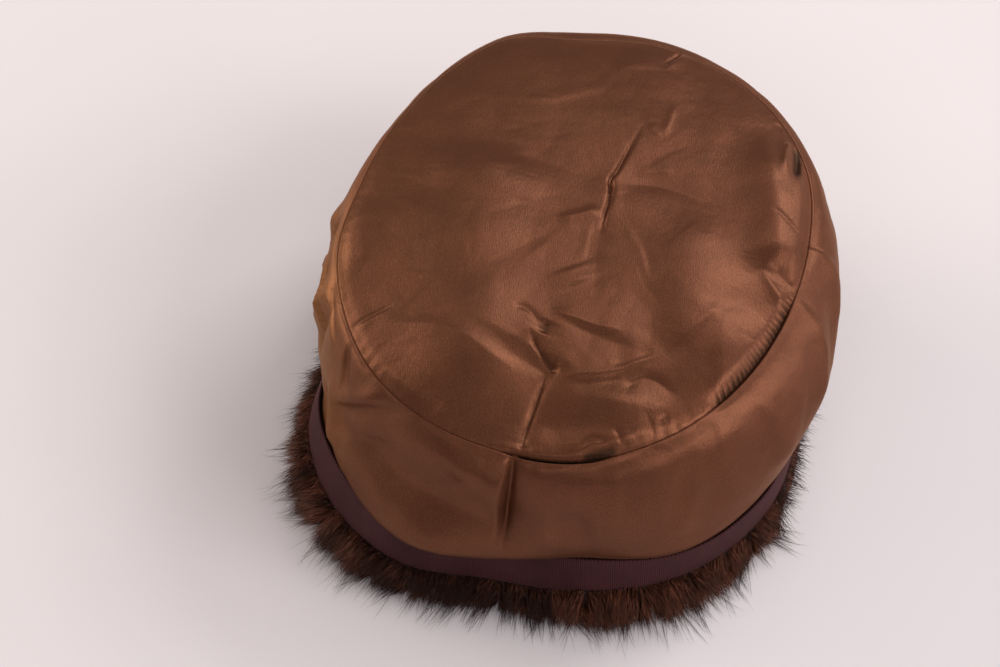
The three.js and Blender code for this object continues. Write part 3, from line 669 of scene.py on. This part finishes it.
# Laps in the crown, the left side over the right. Columns: name, height, left width, right width, crease,
# undercut, path.
TIP_LAPS = [
    ("upper crease", 0.9, 7, 8, 0.6, 1.3,
     [(30.5, 47), (24.5, 34), (21, 26.5), (19, 23), (19, 19.5), (18.3, 14), (16.5, 7), (15, -1)]),
    ("fan ridge", 0.4, 4, 9, 0.8, 0.0, [(30, -19), (27.5, -6), (23.5, 2)]),
    ("fan left edge", 0.25, 4, 5, 1.0, 0.0, [(9, -14), (11, -2), (14, 9)]),
    ("left tuck", 0.35, 3, 3, 0.7, 0.25, [(-52, -28), (-60, -31), (-68, -35)]),
    ("far tuck", 1.1, 5, 4, 0.7, 0.5, [(51, 94), (45, 85), (38, 76)]),
    ("left long line", 0.25, 7, 7, 1.6, 0.0, [(-56, -36), (-40, -20), (-34, 4)]),
    ("far soft line", 0.3, 7, 7, 1.6, 0.0, [(-30, 62), (-4, 58), (22, 66)]),
]
# Gathers along the crown's seam at its right corner, in the same columns as PUCKERS.
GATHERS = [
    (286, 318, 5.2, 0.22, 2.2),
    (303, 348, 2.3, 1.0, 1.4),
]
# Pinched folds of the crown that are painted darker, as painted shade.
PAINTED_SHADE_FOLDS = (
    "seam hole", "left seam gather", "middle seam gather", "right seam gather", "far right notch",
    "far right spot", "left slit", "star stem groove", "star upper groove", "arch", "small arch",
    "panel corner",
)
TIP_CENTRE = (7, 6.5)
TIP_CENTRE_Z = 76
TIP_PUFF = 7.5
PUFF_POWER = 4
TIP_RADIUS = 88  # turns distances in from the seam into shares of the way to the middle
TIP_CELLS = 282  # cells across the crown, about 0.6 mm each
EDGE_BAND = 5  # width of the finer band of cells along the seam
TIP_CUT_AT = (300, 0)  # where the crown's middle lies on the cloth

even_turn = np.arange(4 * TIP_CELLS + 1) / (4 * TIP_CELLS) * 360
graded_turn = spread(4 * TIP_CELLS, [(200, 352, 1.35)])
graded_run = run_round(outline("seam", graded_turn), graded_turn)

# Faint creases all over the crown, from being folded away: short laps at chance places.
FAINT_CREASES = 34
creasing = np.random.default_rng(31)
for _ in range(FAINT_CREASES):
    place = np.array(TIP_CENTRE) + creasing.uniform(-1, 1, 2) * (66, 76)
    turn = creasing.uniform(0, 2 * math.pi)
    reach = creasing.uniform(5, 14)
    bend = creasing.uniform(-2, 2)
    along = reach * np.array([math.cos(turn), math.sin(turn)])
    aside = bend * np.array([-math.sin(turn), math.cos(turn)])
    TIP_LAPS.append(("faint crease", creasing.uniform(0.04, 0.10), 5.0, 5.0, 0.8, 0.02,
                     [place - along, place + aside, place + along]))


def crown_points(share, even_angle):
    """Points on the crown's upper face, at a share of the way out to the seam and an evenly run angle."""
    turned = np.interp(even_angle, even_turn, graded_turn)
    angle = even_angle + (turned - even_angle) * smoothstep(share, 0.1, 0.9)
    seam_x, seam_y = round_x_y(outline("seam", angle), angle)
    x = TIP_CENTRE[0] + (seam_x - TIP_CENTRE[0]) * share
    y = TIP_CENTRE[1] + (seam_y - TIP_CENTRE[1]) * share
    z = TIP_CENTRE_Z + (outline("seam_z", angle) - TIP_CENTRE_Z) * share ** 2
    flat_left = stretch_of(np.mod(angle, 360), 130, 160, 214, 240)
    z += TIP_PUFF * (1 - share ** (PUFF_POWER - 1.9 * flat_left))
    pulled_x, pulled_y = round_x_y(0.9 * seam_gapes(angle) * smoothstep(share, 0.93, 1), angle)
    x -= pulled_x
    y -= pulled_y
    away = (1 - share) * np.hypot(seam_x - TIP_CENTRE[0], seam_y - TIP_CENTRE[1])
    along = np.interp(angle, graded_turn, graded_run)
    z += smoothstep(away, 0, 4) * (fold_lift(x, y, TIP_FOLDS) + lap_lift(x, y, TIP_LAPS))
    z += smoothstep(away, 0, 6) * (0.4 * soft_noise(x, y, 21, 2.2) + 0.45 * np.abs(soft_noise(x, y, 26, 5.2))
                                   + 0.22 * np.abs(soft_noise(x, y, 11, 7.7)))
    edge = 1 - smoothstep(away, 0, 1.2)
    z -= SEAM_DROP * seam_shows(angle) * edge ** 2
    z -= (1 - 0.6 * edge) * seam_puckers(angle, along, away, PUCKERS + GATHERS)
    return np.stack([x, y, z], -1)


# The middle is a square grid drawn out to an oval, and a band of finer rows follows the seam.
inner_share = 1 - EDGE_BAND / TIP_RADIUS
bpy.ops.object.select_all(action="DESELECT")
bpy.ops.mesh.primitive_grid_add(x_subdivisions=TIP_CELLS, y_subdivisions=TIP_CELLS, size=2)
lining_tip = bpy.context.object
lining_tip.name = "satin_crown"
a, b, _ = vertex_places(lining_tip.data).T
wide = np.abs(a) > np.abs(b)
reach = np.where(wide, a, b)
slant = np.where(wide, b, a) / np.where(reach == 0, 1, reach)
even_angle = np.degrees(np.where(wide, math.pi / 4 * slant, math.pi / 2 - math.pi / 4 * slant))
even_angle = np.mod(even_angle + np.where(reach < 0, 180, 0), 360)
middle = crown_points(np.abs(reach) * inner_share, even_angle)
lining_tip.data.vertices.foreach_set("co", (middle / 1000).ravel())
lay_on_cloth(lining_tip.data, middle[:, :2] + TIP_CUT_AT)
band_share = 1 - np.array([0, 0.3, 0.62, 0.98, 1.4, 1.9, 2.5, 3.2, 4.0, EDGE_BAND]) / TIP_RADIUS
band = crown_points(*(grid.ravel() for grid in np.meshgrid(band_share, even_turn, indexing="ij")))
band = band.reshape(len(band_share), len(even_turn), 3)
seam_band = ring_grid("crown_edge", band, band[..., :2] + TIP_CUT_AT)

# The underside has few faces, and lies under the deepest of the folds within UNDER_REACH of it.
UNDER_REACH = 5
under_share = 1 - np.array([0, 1.2, 3, 6, 10, 16, 23, 31, 40, 50, 61, 73, TIP_RADIUS]) / TIP_RADIUS
under = crown_points(*(grid.ravel() for grid in np.meshgrid(under_share, even_turn[::6], indexing="ij")))
upper = np.concatenate([middle, band.reshape(-1, 3)])
upper = upper[np.argsort(upper[:, 0])]
for point in under:
    first, past = np.searchsorted(upper[:, 0], (point[0] - UNDER_REACH, point[0] + UNDER_REACH))
    close = upper[first:past]
    close = close[np.hypot(close[:, 0] - point[0], close[:, 1] - point[1]) < UNDER_REACH]
    point[2] = min(point[2], close[:, 2].min()) if len(close) else point[2]
under = under.reshape(len(under_share), -1, 3)
under[0, :, 2] = band[0, ::6, 2]
under[..., 2] -= SATIN
under_side = ring_grid("crown_underside", under, under[..., :2] + TIP_CUT_AT)

bpy.ops.object.select_all(action="DESELECT")
for part in (under_side, seam_band, lining_tip):
    part.select_set(True)
bpy.context.view_layer.objects.active = lining_tip
bpy.ops.object.join()
bpy.ops.object.mode_set(mode="EDIT")
bpy.ops.mesh.select_mode(type="EDGE")
bpy.ops.mesh.select_all(action="SELECT")
bpy.ops.mesh.remove_doubles(threshold=2e-6)
bpy.ops.mesh.select_all(action="DESELECT")
bpy.ops.mesh.select_non_manifold()
bpy.ops.mesh.bridge_edge_loops()
bpy.ops.mesh.select_all(action="SELECT")
bpy.ops.mesh.normals_make_consistent(inside=False)
bpy.ops.mesh.select_mode(type="VERT")
bpy.ops.object.mode_set(mode="OBJECT")
bpy.ops.object.shade_smooth()

# The gathers at the right corner, a band along the seam there and the pinched folds are painted darker:
# painted shade, for the deeper shade of real ones.
x, y, _ = vertex_places(lining_tip.data).T * 1000
seam_x, seam_y = round_x_y(outline("seam", graded_turn), graded_turn)
seam_turn = np.degrees(np.arctan2(seam_y - TIP_CENTRE[1], seam_x - TIP_CENTRE[0]))
turn = np.degrees(np.arctan2(y - TIP_CENTRE[1], x - TIP_CENTRE[0]))
angle = np.interp(turn, np.unwrap(seam_turn, period=360), graded_turn, period=360)
seam_x, seam_y = round_x_y(outline("seam", angle), angle)
to_seam = np.hypot(seam_x - TIP_CENTRE[0], seam_y - TIP_CENTRE[1])
away = np.maximum(to_seam - np.hypot(x - TIP_CENTRE[0], y - TIP_CENTRE[1]), 0)
gathered = seam_puckers(angle, np.interp(angle, graded_turn, graded_run), away, GATHERS[1:])
corner_painted_shade = stretch_of(angle, 306, 314, 334, 342) * np.exp(-(away / 2.2) ** 2)
pinched = [fold for fold in TIP_FOLDS if fold[0] in PAINTED_SHADE_FOLDS]
painted_fold_shade = 0.85 * smoothstep(gathered, 0.02, 0.6) + 0.45 * corner_painted_shade
painted_fold_shade = np.clip(painted_fold_shade + smoothstep(-fold_lift(x, y, pinched), 0.2, 1.7), 0, 1)
lining_tip.data.attributes.new("painted_fold_shade", "FLOAT", "POINT").data.foreach_set("value", painted_fold_shade)

lining_tip.data.materials.append(satin)
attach(lining_tip, "root")
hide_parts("lining_tip")


# Head ribbon
# Plum-brown rayon grosgrain, 15 mm wide, with cross ribs of about 0.7 mm and a small picot along each
# edge. It is sewn to the fur edge at its foot and stands free of the lining at its top.
RIB_PITCH = 0.7
RIB_HEIGHT = 0.16
COLUMNS_PER_RIB = 4
rim_angles = np.linspace(0, 360, 1441)
rim_run = run_round(outline("rim", rim_angles), rim_angles)
ribs = 2 * round(rim_run[-1] / RIB_PITCH / 2)
rib_place = np.arange(ribs * COLUMNS_PER_RIB + 1) / COLUMNS_PER_RIB
ribbon_angles = np.interp(rib_place / ribs * rim_run[-1], rim_run, rim_angles)
rib = RIB_HEIGHT * (np.abs(np.sin(np.pi * rib_place)) - 0.5)
picot = 0.42 * (np.cos(np.pi * rib_place) > 0.6) * np.cos(np.pi * rib_place)
wave = 0.35 * soft_noise(*round_x_y(NOISE_RADIUS, ribbon_angles), 9, 5.5)
# Section of the ribbon, from the inner foot round the outer face.
# Columns: share of the width, inset, share of the ribs' height, share of the picots' height.
RIBBON_SECTION = [
    (0.0, 0.75, 0.0, 0.0),
    (0.0, 0.15, 0.5, -0.6),
    (0.06, 0.0, 1.0, 0.0),
    (0.5, 0.0, 1.0, 0.0),
    (0.93, 0.0, 1.0, 0.0),
    (0.985, 0.05, 0.7, 0.5),
    (1.0, 0.3, 0.0, 1.0),
    (0.99, 0.75, 0.0, 1.0),
    (0.0, 0.75, 0.0, 0.0),
]
rings = []
for share_at, inset, rib_share, picot_share in RIBBON_SECTION:
    r, at_z = ribbon_face(ribbon_angles, share_at, inset)
    r = r + rib * rib_share + wave * share_at
    at_z = at_z - picot * picot_share
    rings.append(np.stack([*round_x_y(r, ribbon_angles), at_z], -1))
# Where the rows of the section lie across the cut ribbon.
across = np.array([0.0, 0.6, 1.5, 7.5, 14.0, 14.8, 15.2, 15.8, 30.0])
ribbon = ring_grid("grosgrain_ribbon", np.array(rings), np.stack([
    np.repeat(rib_place[None, :] * RIB_PITCH, len(across), axis=0),
    np.repeat(across[:, None], len(rib_place), axis=1),
], -1))

# Rayon grosgrain: matt and a little uneven with wear, with a dry sheen, painted shade between its ribs and a
# faint painted highlight on their crests.
grosgrain, tree, shader = new_material("plum rayon grosgrain")
place = node(tree, "ShaderNodeTexCoord").outputs["Object"]
worn = node(tree, "ShaderNodeTexNoise", {"Scale": 60.0, "Detail": 4.0}, {"Vector": place})
plum = node(tree, "ShaderNodeValToRGB", links={"Fac": worn.outputs["Fac"]})
plum.color_ramp.elements[0].position = 0.3
plum.color_ramp.elements[0].color = linear("#351719")
plum.color_ramp.elements[1].position = 0.72
plum.color_ramp.elements[1].color = linear("#442123")
# Painted shade: the colour is darkened in the grooves between the ribs and lifted a little on their crests.
cloth = node(tree, "ShaderNodeUVMap", uv_map="cut").outputs["UV"]
length = node(tree, "ShaderNodeSeparateXYZ", links={"Vector": cloth}).outputs["X"]
phase = node(tree, "ShaderNodeMath", {1: math.pi / (RIB_PITCH / 1000)}, {0: length}, operation="MULTIPLY")
crest = node(tree, "ShaderNodeMath", links={0: phase.outputs["Value"]}, operation="SINE")
crest = node(tree, "ShaderNodeMath", links={0: crest.outputs["Value"]}, operation="ABSOLUTE")
painted_rib_shade = node(tree, "ShaderNodeMapRange", {"From Max": 0.85, "To Min": 0.15, "To Max": 1.15},
              {"Value": crest.outputs["Value"]})
dyed_and_painted_light = node(tree, "ShaderNodeMix", {"Factor": 1.0},
            {"A": plum.outputs["Color"], "B": painted_rib_shade.outputs["Result"]},
            data_type="RGBA", blend_type="MULTIPLY")
fibres = node(tree, "ShaderNodeTexNoise", {"Scale": 3200.0, "Detail": 1.0}, {"Vector": place})
fibres = node(tree, "ShaderNodeBump", {"Strength": 0.25, "Distance": 0.0001},
              {"Height": fibres.outputs["Fac"]})
fill(tree, shader, {
    "Roughness": 0.7,
    "Specular IOR Level": 0.12,
    "Sheen Weight": 0.1,
    "Sheen Roughness": 0.5,
    "Sheen Tint": linear("#c9a2a2"),
}, {"Base Color": dyed_and_painted_light.outputs["Result"], "Normal": fibres.outputs["Normal"]})

ribbon.data.materials.append(grosgrain)
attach(ribbon, "root")
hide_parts("head_ribbon")


# Fur edge
# The mink is turned under at the head opening, so a roll of fur stands out below the ribbon and carries
# the hat. Dense brown underfur grows in tufts, with longer near-black guard hairs between and over them.

# Section of the roll, from under the ribbon's foot outwards and down. Columns: outside the foot, height.
ROLL_PROFILE = [(-1.2, 12.2), (0.4, 10.6), (1.4, 6.5), (0.9, 1.9), (-0.8, 0.1), (-13, 0.1),
                (-17.6, 2.2), (-19.3, 7.5), (-18, 12.0), (-15.5, 13.9), (-10, 13.9)]
OUTSIDE = 5  # how many of these points are on the roll's outside, where hairs grow
roll_angles = np.linspace(0, 360, 241)
roll_r = outline("rim", roll_angles)
roll = ring_grid("fur_roll", np.array([
    np.stack([*round_x_y(roll_r + out, roll_angles), np.full_like(roll_r, at_z)], -1)
    for out, at_z in ROLL_PROFILE + ROLL_PROFILE[:1]
]))

# Mink: each hair is smooth and glossy, brown at its foot and near black at its tip, and takes its
# colour from the hair's own attribute.
mink, tree, shader = new_material("brown mink hair")
tone = node(tree, "ShaderNodeAttribute", attribute_name="tone", attribute_type="GEOMETRY")
fill(tree, shader, {
    "Roughness": 0.42,
    "Specular IOR Level": 0.42,
    "Specular Tint": linear("#d8b0a0"),
}, {"Base Color": tone.outputs["Color"]})

# Skin and matted underfur at the hairs' feet: dark, dull and uneven.
underfur, tree, shader = new_material("matted mink underfur")
place = node(tree, "ShaderNodeTexCoord").outputs["Object"]
matted = node(tree, "ShaderNodeTexNoise", {"Scale": 420.0, "Detail": 3.0}, {"Vector": place})
dark = node(tree, "ShaderNodeValToRGB", links={"Fac": matted.outputs["Fac"]})
dark.color_ramp.elements[0].color = linear("#150e0c")
dark.color_ramp.elements[1].color = linear("#3a231c")
clots = node(tree, "ShaderNodeBump", {"Strength": 0.8, "Distance": 0.001}, {"Height": matted.outputs["Fac"]})
fill(tree, shader, {"Roughness": 0.85},
     {"Base Color": dark.outputs["Color"], "Normal": clots.outputs["Normal"]})

roll.data.materials.append(underfur)
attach(roll, "root")
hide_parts("fur_edge")

chance = np.random.default_rng(7)


def hair_piece(name, stands_for, root, aim, droop, length, width, foot_tone, tip_tone, rings):
    """Many tapering three-sided hairs in one mesh.

    Each hair leaves root along aim and droops as it goes, and never dips under the table. rings is how
    many rings of three corners it has before its point. Sizes are in mm.
    """
    count = len(root)
    t = np.append(np.linspace(0, 1, rings + 1)[:-1] ** 0.85, 1.0)
    centre = root[:, None] + length[:, None, None] * (
        aim[:, None] * t[None, :, None] + droop[:, None] * (t ** 2)[None, :, None])
    centre[..., 2] = np.maximum(centre[..., 2], 0.25 + 0.1 * width[:, None])
    along = np.gradient(centre, axis=1)
    along /= np.linalg.norm(along, axis=-1, keepdims=True)
    across = np.cross(along, (0.0, 0.0, 1.0))
    across /= np.maximum(np.linalg.norm(across, axis=-1, keepdims=True), 1e-6)
    over = np.cross(along, across)
    roll_turn = chance.uniform(0, 2 * np.pi, count)
    thick = width[:, None] / 2 * (1 - t[None, :-1] ** 1.7 * 0.72)
    corners = []
    for k in range(3):
        turn = roll_turn[:, None] + 2 * np.pi * k / 3
        corners.append(centre[:, :-1] + thick[..., None] * (
            across[:, :-1] * np.cos(turn)[..., None] + over[:, :-1] * np.sin(turn)[..., None]))
    body = np.stack(corners, axis=2).reshape(count, rings * 3, 3)
    points = np.concatenate([body, centre[:, -1:]], axis=1)
    faces = [(2, 1, 0)]
    for ring in range(rings - 1):
        for k in range(3):
            a, b = ring * 3 + k, ring * 3 + (k + 1) % 3
            faces.append((a, b, b + 3, a + 3))
    for k in range(3):
        faces.append(((rings - 1) * 3 + k, (rings - 1) * 3 + (k + 1) % 3, rings * 3))
    step = rings * 3 + 1
    triangles = [f for f in faces if len(f) == 3]
    quads = [f for f in faces if len(f) == 4]
    shift = (np.arange(count) * step)[:, None, None]
    listed = (np.array(triangles)[None] + shift).reshape(-1, 3).tolist()
    if quads:
        listed += (np.array(quads)[None] + shift).reshape(-1, 4).tolist()
    mesh = bpy.data.meshes.new(name)
    mesh.from_pydata((points.reshape(-1, 3) / 1000).tolist(), [], listed)
    blend = np.concatenate([np.repeat(t[:-1], 3), [1.0]])[None, :, None] ** 1.3
    tones = foot_tone[:, None] * (1 - blend) + tip_tone[:, None] * blend
    layer = mesh.color_attributes.new("tone", "FLOAT_COLOR", "POINT")
    layer.data.foreach_set("color", np.concatenate([tones, np.ones_like(tones[..., :1])], -1).ravel())
    mesh.polygons.foreach_set("use_smooth", [True] * len(mesh.polygons))
    mesh.update()
    mesh.materials.append(mink)
    piece = bpy.data.objects.new(name, mesh)
    bpy.context.collection.objects.link(piece)
    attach(piece, "root")
    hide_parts(stands_for)
    return piece


# How far the dense underfur and the guard hairs reach outside the ribbon's foot, and which share of the
# tufts are brown. Columns: angle, underfur, guard hairs, brown.
# The brown share is low at the front left, 242 to 260 degrees: partly darker fur and partly painted shade.
FUR_REACH = np.array([
    (0, 4.0, 7.0, 0.5), (45, 5.0, 9.0, 0.5), (90, 5.0, 9.0, 0.5), (135, 4.0, 8.0, 0.5),
    (158, 2.0, 5.0, 0.5), (176, 1.5, 5.5, 0.5), (182, 5.5, 9.0, 0.6), (194, 7.0, 10.0, 0.7),
    (206, 9.0, 13.0, 0.8), (218, 8.5, 12.0, 0.7), (230, 8.0, 11.0, 0.4), (242, 4.8, 9.0, 0.15),
    (254, 4.5, 10.0, 0.15), (260, 3.2, 9.5, 0.3), (266, 5.5, 10.5, 0.5), (272, 8.0, 12.5, 0.7),
    (284, 7.5, 10.5, 0.8), (296, 7.5, 13.0, 0.8), (308, 4.8, 10.0, 0.8), (320, 3.4, 9.0, 0.8),
    (326, 0.6, 6.0, 0.7), (332, 0.0, 4.0, 0.6), (338, 0.0, 4.0, 0.6), (344, 0.6, 4.0, 0.5),
    (350, 3.0, 6.0, 0.5), (360, 4.0, 7.0, 0.5),
])
TUFT_WIDTH = 8.5
ROOT_DEPTH = 0.35  # how deep in the roll a hair starts
tuft_count = 2 * int(rim_run[-1] / TUFT_WIDTH)
tuft_at = (np.arange(tuft_count) / 2 + chance.uniform(-0.28, 0.28, tuft_count)) * TUFT_WIDTH
tuft_row = np.arange(tuft_count) % 2
tuft_sweep = chance.normal(0, 0.3, tuft_count)
tuft_lift = chance.normal(0, 0.12, tuft_count)
tuft_long = chance.uniform(0.82, 1.15, tuft_count)


def sow(count, top, bottom):
    """Roots of hairs over the roll's outside, between two shares of its profile, with their tufts."""
    at_rim = chance.uniform(0, rim_run[-1], count)
    down = chance.uniform(top, bottom, count)
    angle = np.interp(at_rim, rim_run, rim_angles)
    at_profile = np.clip(down, 0, 1) * (OUTSIDE - 1)
    out, at_z = (np.interp(at_profile, range(OUTSIDE), column) for column in zip(*ROLL_PROFILE[:OUTSIDE]))
    gap = at_rim[:, None] - tuft_at[None, :]
    gap = (gap + rim_run[-1] / 2) % rim_run[-1] - rim_run[-1] / 2
    row_gap = (down[:, None] > 0.5) != (tuft_row[None, :] == 1)
    tuft = np.argmin(np.abs(gap) + 2.5 * row_gap, axis=1)
    gap = gap[np.arange(count), tuft]
    r = outline("rim", angle) + out - ROOT_DEPTH
    turn = np.radians(angle)
    outward = np.stack([np.cos(turn), np.sin(turn), 0 * turn], -1)
    sideways = np.stack([-np.sin(turn), np.cos(turn), 0 * turn], -1)
    root = outward * r[:, None]
    root[:, 2] = at_z
    return angle, down, tuft, gap, root, outward, sideways


def shades(dark_code, light_code, mix):
    """Colours between two codes, one for each share in mix."""
    low, high = np.array(linear(dark_code)[:3]), np.array(linear(light_code)[:3])
    return low + (high - low) * np.clip(mix, 0, 1)[:, None]


def grow(name, count, top, bottom, kind, width, rings):
    """A piece of the turned edge: hairs of one kind, underfur or guard, that lean and bend in tufts."""
    angle, down, tuft, gap, root, outward, sideways = sow(count, top, bottom)
    column = 1 if kind == "underfur" else 2
    reach = np.interp(angle, FUR_REACH[:, 0], FUR_REACH[:, column])
    own = chance.uniform(0.0, 1.0, count)
    length = (reach + 1.4) * tuft_long[tuft] * (0.55 + 0.5 * own)
    if kind == "guard":
        length *= 0.8 + 0.75 * chance.uniform(0, 1, count) ** 3
    lift = 0.34 - 0.75 * down + tuft_lift[tuft] + chance.normal(0, 0.14, count)
    lapping = (down < 0.14) & (chance.uniform(0, 1, count) < 0.6)
    lift = np.where(lapping, chance.uniform(0.5, 1.8, count), lift)
    length = np.where(lapping, 0.5 * length, length)
    drawn = 0.12 if kind == "underfur" else 0.5
    sweep = tuft_sweep[tuft] - drawn * gap / np.maximum(length, 4) + chance.normal(0, 0.16, count)
    aim = outward + sideways * sweep[:, None]
    aim[:, 2] = lift
    aim /= np.linalg.norm(aim, axis=-1, keepdims=True)
    droop = np.zeros_like(aim)
    droop[:, 2] = -0.34 * (1.2 - down)
    droop += outward * 0.05 + sideways * chance.normal(0, 0.07, count)[:, None]
    patch = soft_noise(np.interp(angle, rim_angles, rim_run), 14 * down, 7.5, 6.1)
    share = np.interp(angle, FUR_REACH[:, 0], FUR_REACH[:, 3])
    brown = smoothstep(patch + 0.9 * share - 0.45 + chance.normal(0, 0.12, count), -0.25, 0.3)
    if kind == "underfur":
        foot = shades("#22130f", "#84503c", 0.2 + 0.6 * brown + chance.normal(0, 0.14, count))
        tip = shades("#1c100d", "#724433", 0.05 + 0.75 * brown + chance.normal(0, 0.14, count))
    else:
        foot = shades("#1a0f0c", "#4c2b21", 0.2 + 0.3 * brown + chance.normal(0, 0.15, count))
        tip = shades("#0e0908", "#2c1913", chance.uniform(0, 0.7, count))
    wide = width * chance.uniform(0.75, 1.25, count)
    return hair_piece(name, "fur_edge", root, aim, droop, length, wide, foot, tip, rings)


grow("fur_underfur_upper", 19500, 0.0, 0.55, "underfur", 0.24, 2)
grow("fur_underfur_lower", 12000, 0.45, 0.98, "underfur", 0.26, 2)
grow("fur_guard_hairs", 8000, 0.02, 0.95, "guard", 0.16, 3)


# Fur inside the hat
# The pelts of the body, skin towards the lining and hair towards the hollow, combed down to the opening.
# Worn the right way out this is the face of the hat. Here it shows only from below.
BACKING = 3.5  # skin and matted underfur together
body_angles = np.linspace(0, 360, 181)
rim, mid, high, seam, seam_z = (outline(c, body_angles) for c in ("rim", "mid", "high", "seam", "seam_z"))


def around(radius, at_z):
    """Points round the hat, at radii and heights."""
    return np.stack([*round_x_y(radius, body_angles), at_z + 0 * body_angles], -1)


skin = smooth_through(np.array([
    around(rim - 11.2, 15.0),
    around(rim - 11.2, 25.5),
    around(np.minimum(rim - 10, mid - 8), 44),
    around(np.minimum(rim - 7.5, high - 7.5), 60),
    around(seam - 13, seam_z - 6),
    around(seam - 42, (seam_z + 74) / 2 - 2.5),
    np.array((*TIP_CENTRE, 73.4)) + 0 * around(rim, 0),
]), np.concatenate([np.linspace(0, 5, 26), np.linspace(5.15, 6, 6)]))
inwards = np.cross(np.gradient(skin, axis=0), np.gradient(skin, axis=1))
inwards /= np.maximum(np.linalg.norm(inwards, axis=-1, keepdims=True), 1e-9)
inwards[-1] = (0, 0, -1)
inwards[0] = inwards[1] * (1, 1, 0)
inwards[:, -1] = inwards[:, 0]
inner = skin + inwards * BACKING
pelt = ring_grid("fur_pelt", np.concatenate([skin[:1], inner, skin[::-1]]))
pelt.data.materials.append(underfur)
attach(pelt, "root")
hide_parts("fur_body")

# Hair of the pelts: each leans down the pelt towards the opening.
INNER_HAIRS = 6500
cell = np.prod([np.linalg.norm(slope, axis=-1) for slope in np.gradient(inner, axis=(0, 1))], axis=0)
picked = chance.choice(cell.size, INNER_HAIRS, p=(cell / cell.sum()).ravel())
row, column = np.unravel_index(picked, cell.shape)
row = np.clip(row, 1, len(inner) - 2)
column = np.clip(column, 0, len(body_angles) - 2)
slip = chance.uniform(-0.5, 0.5, (INNER_HAIRS, 2))
root = (inner[row, column] + slip[:, :1] * (inner[row + 1, column] - inner[row - 1, column]) / 2
        + slip[:, 1:] * (inner[row, column + 1] - inner[row, column]))
down = inner[row - 1, column] - inner[row + 1, column]
down /= np.linalg.norm(down, axis=-1, keepdims=True)
aim = 0.42 * inwards[row, column] + 0.85 * down + chance.normal(0, 0.12, (INNER_HAIRS, 3))
aim /= np.linalg.norm(aim, axis=-1, keepdims=True)
length = np.minimum(chance.uniform(7, 12, INNER_HAIRS), np.maximum(root[:, 2] - 12, 3))
hair_piece("fur_inner_hair", "fur_body", root - 0.4 * inwards[row, column], aim, 0 * aim, length,
           chance.uniform(0.6, 1.0, INNER_HAIRS),
           shades("#1a110e", "#6e4231", chance.uniform(0.3, 0.9, INNER_HAIRS)),
           shades("#0d0908", "#3a231c", chance.uniform(0, 0.8, INNER_HAIRS)), 2)
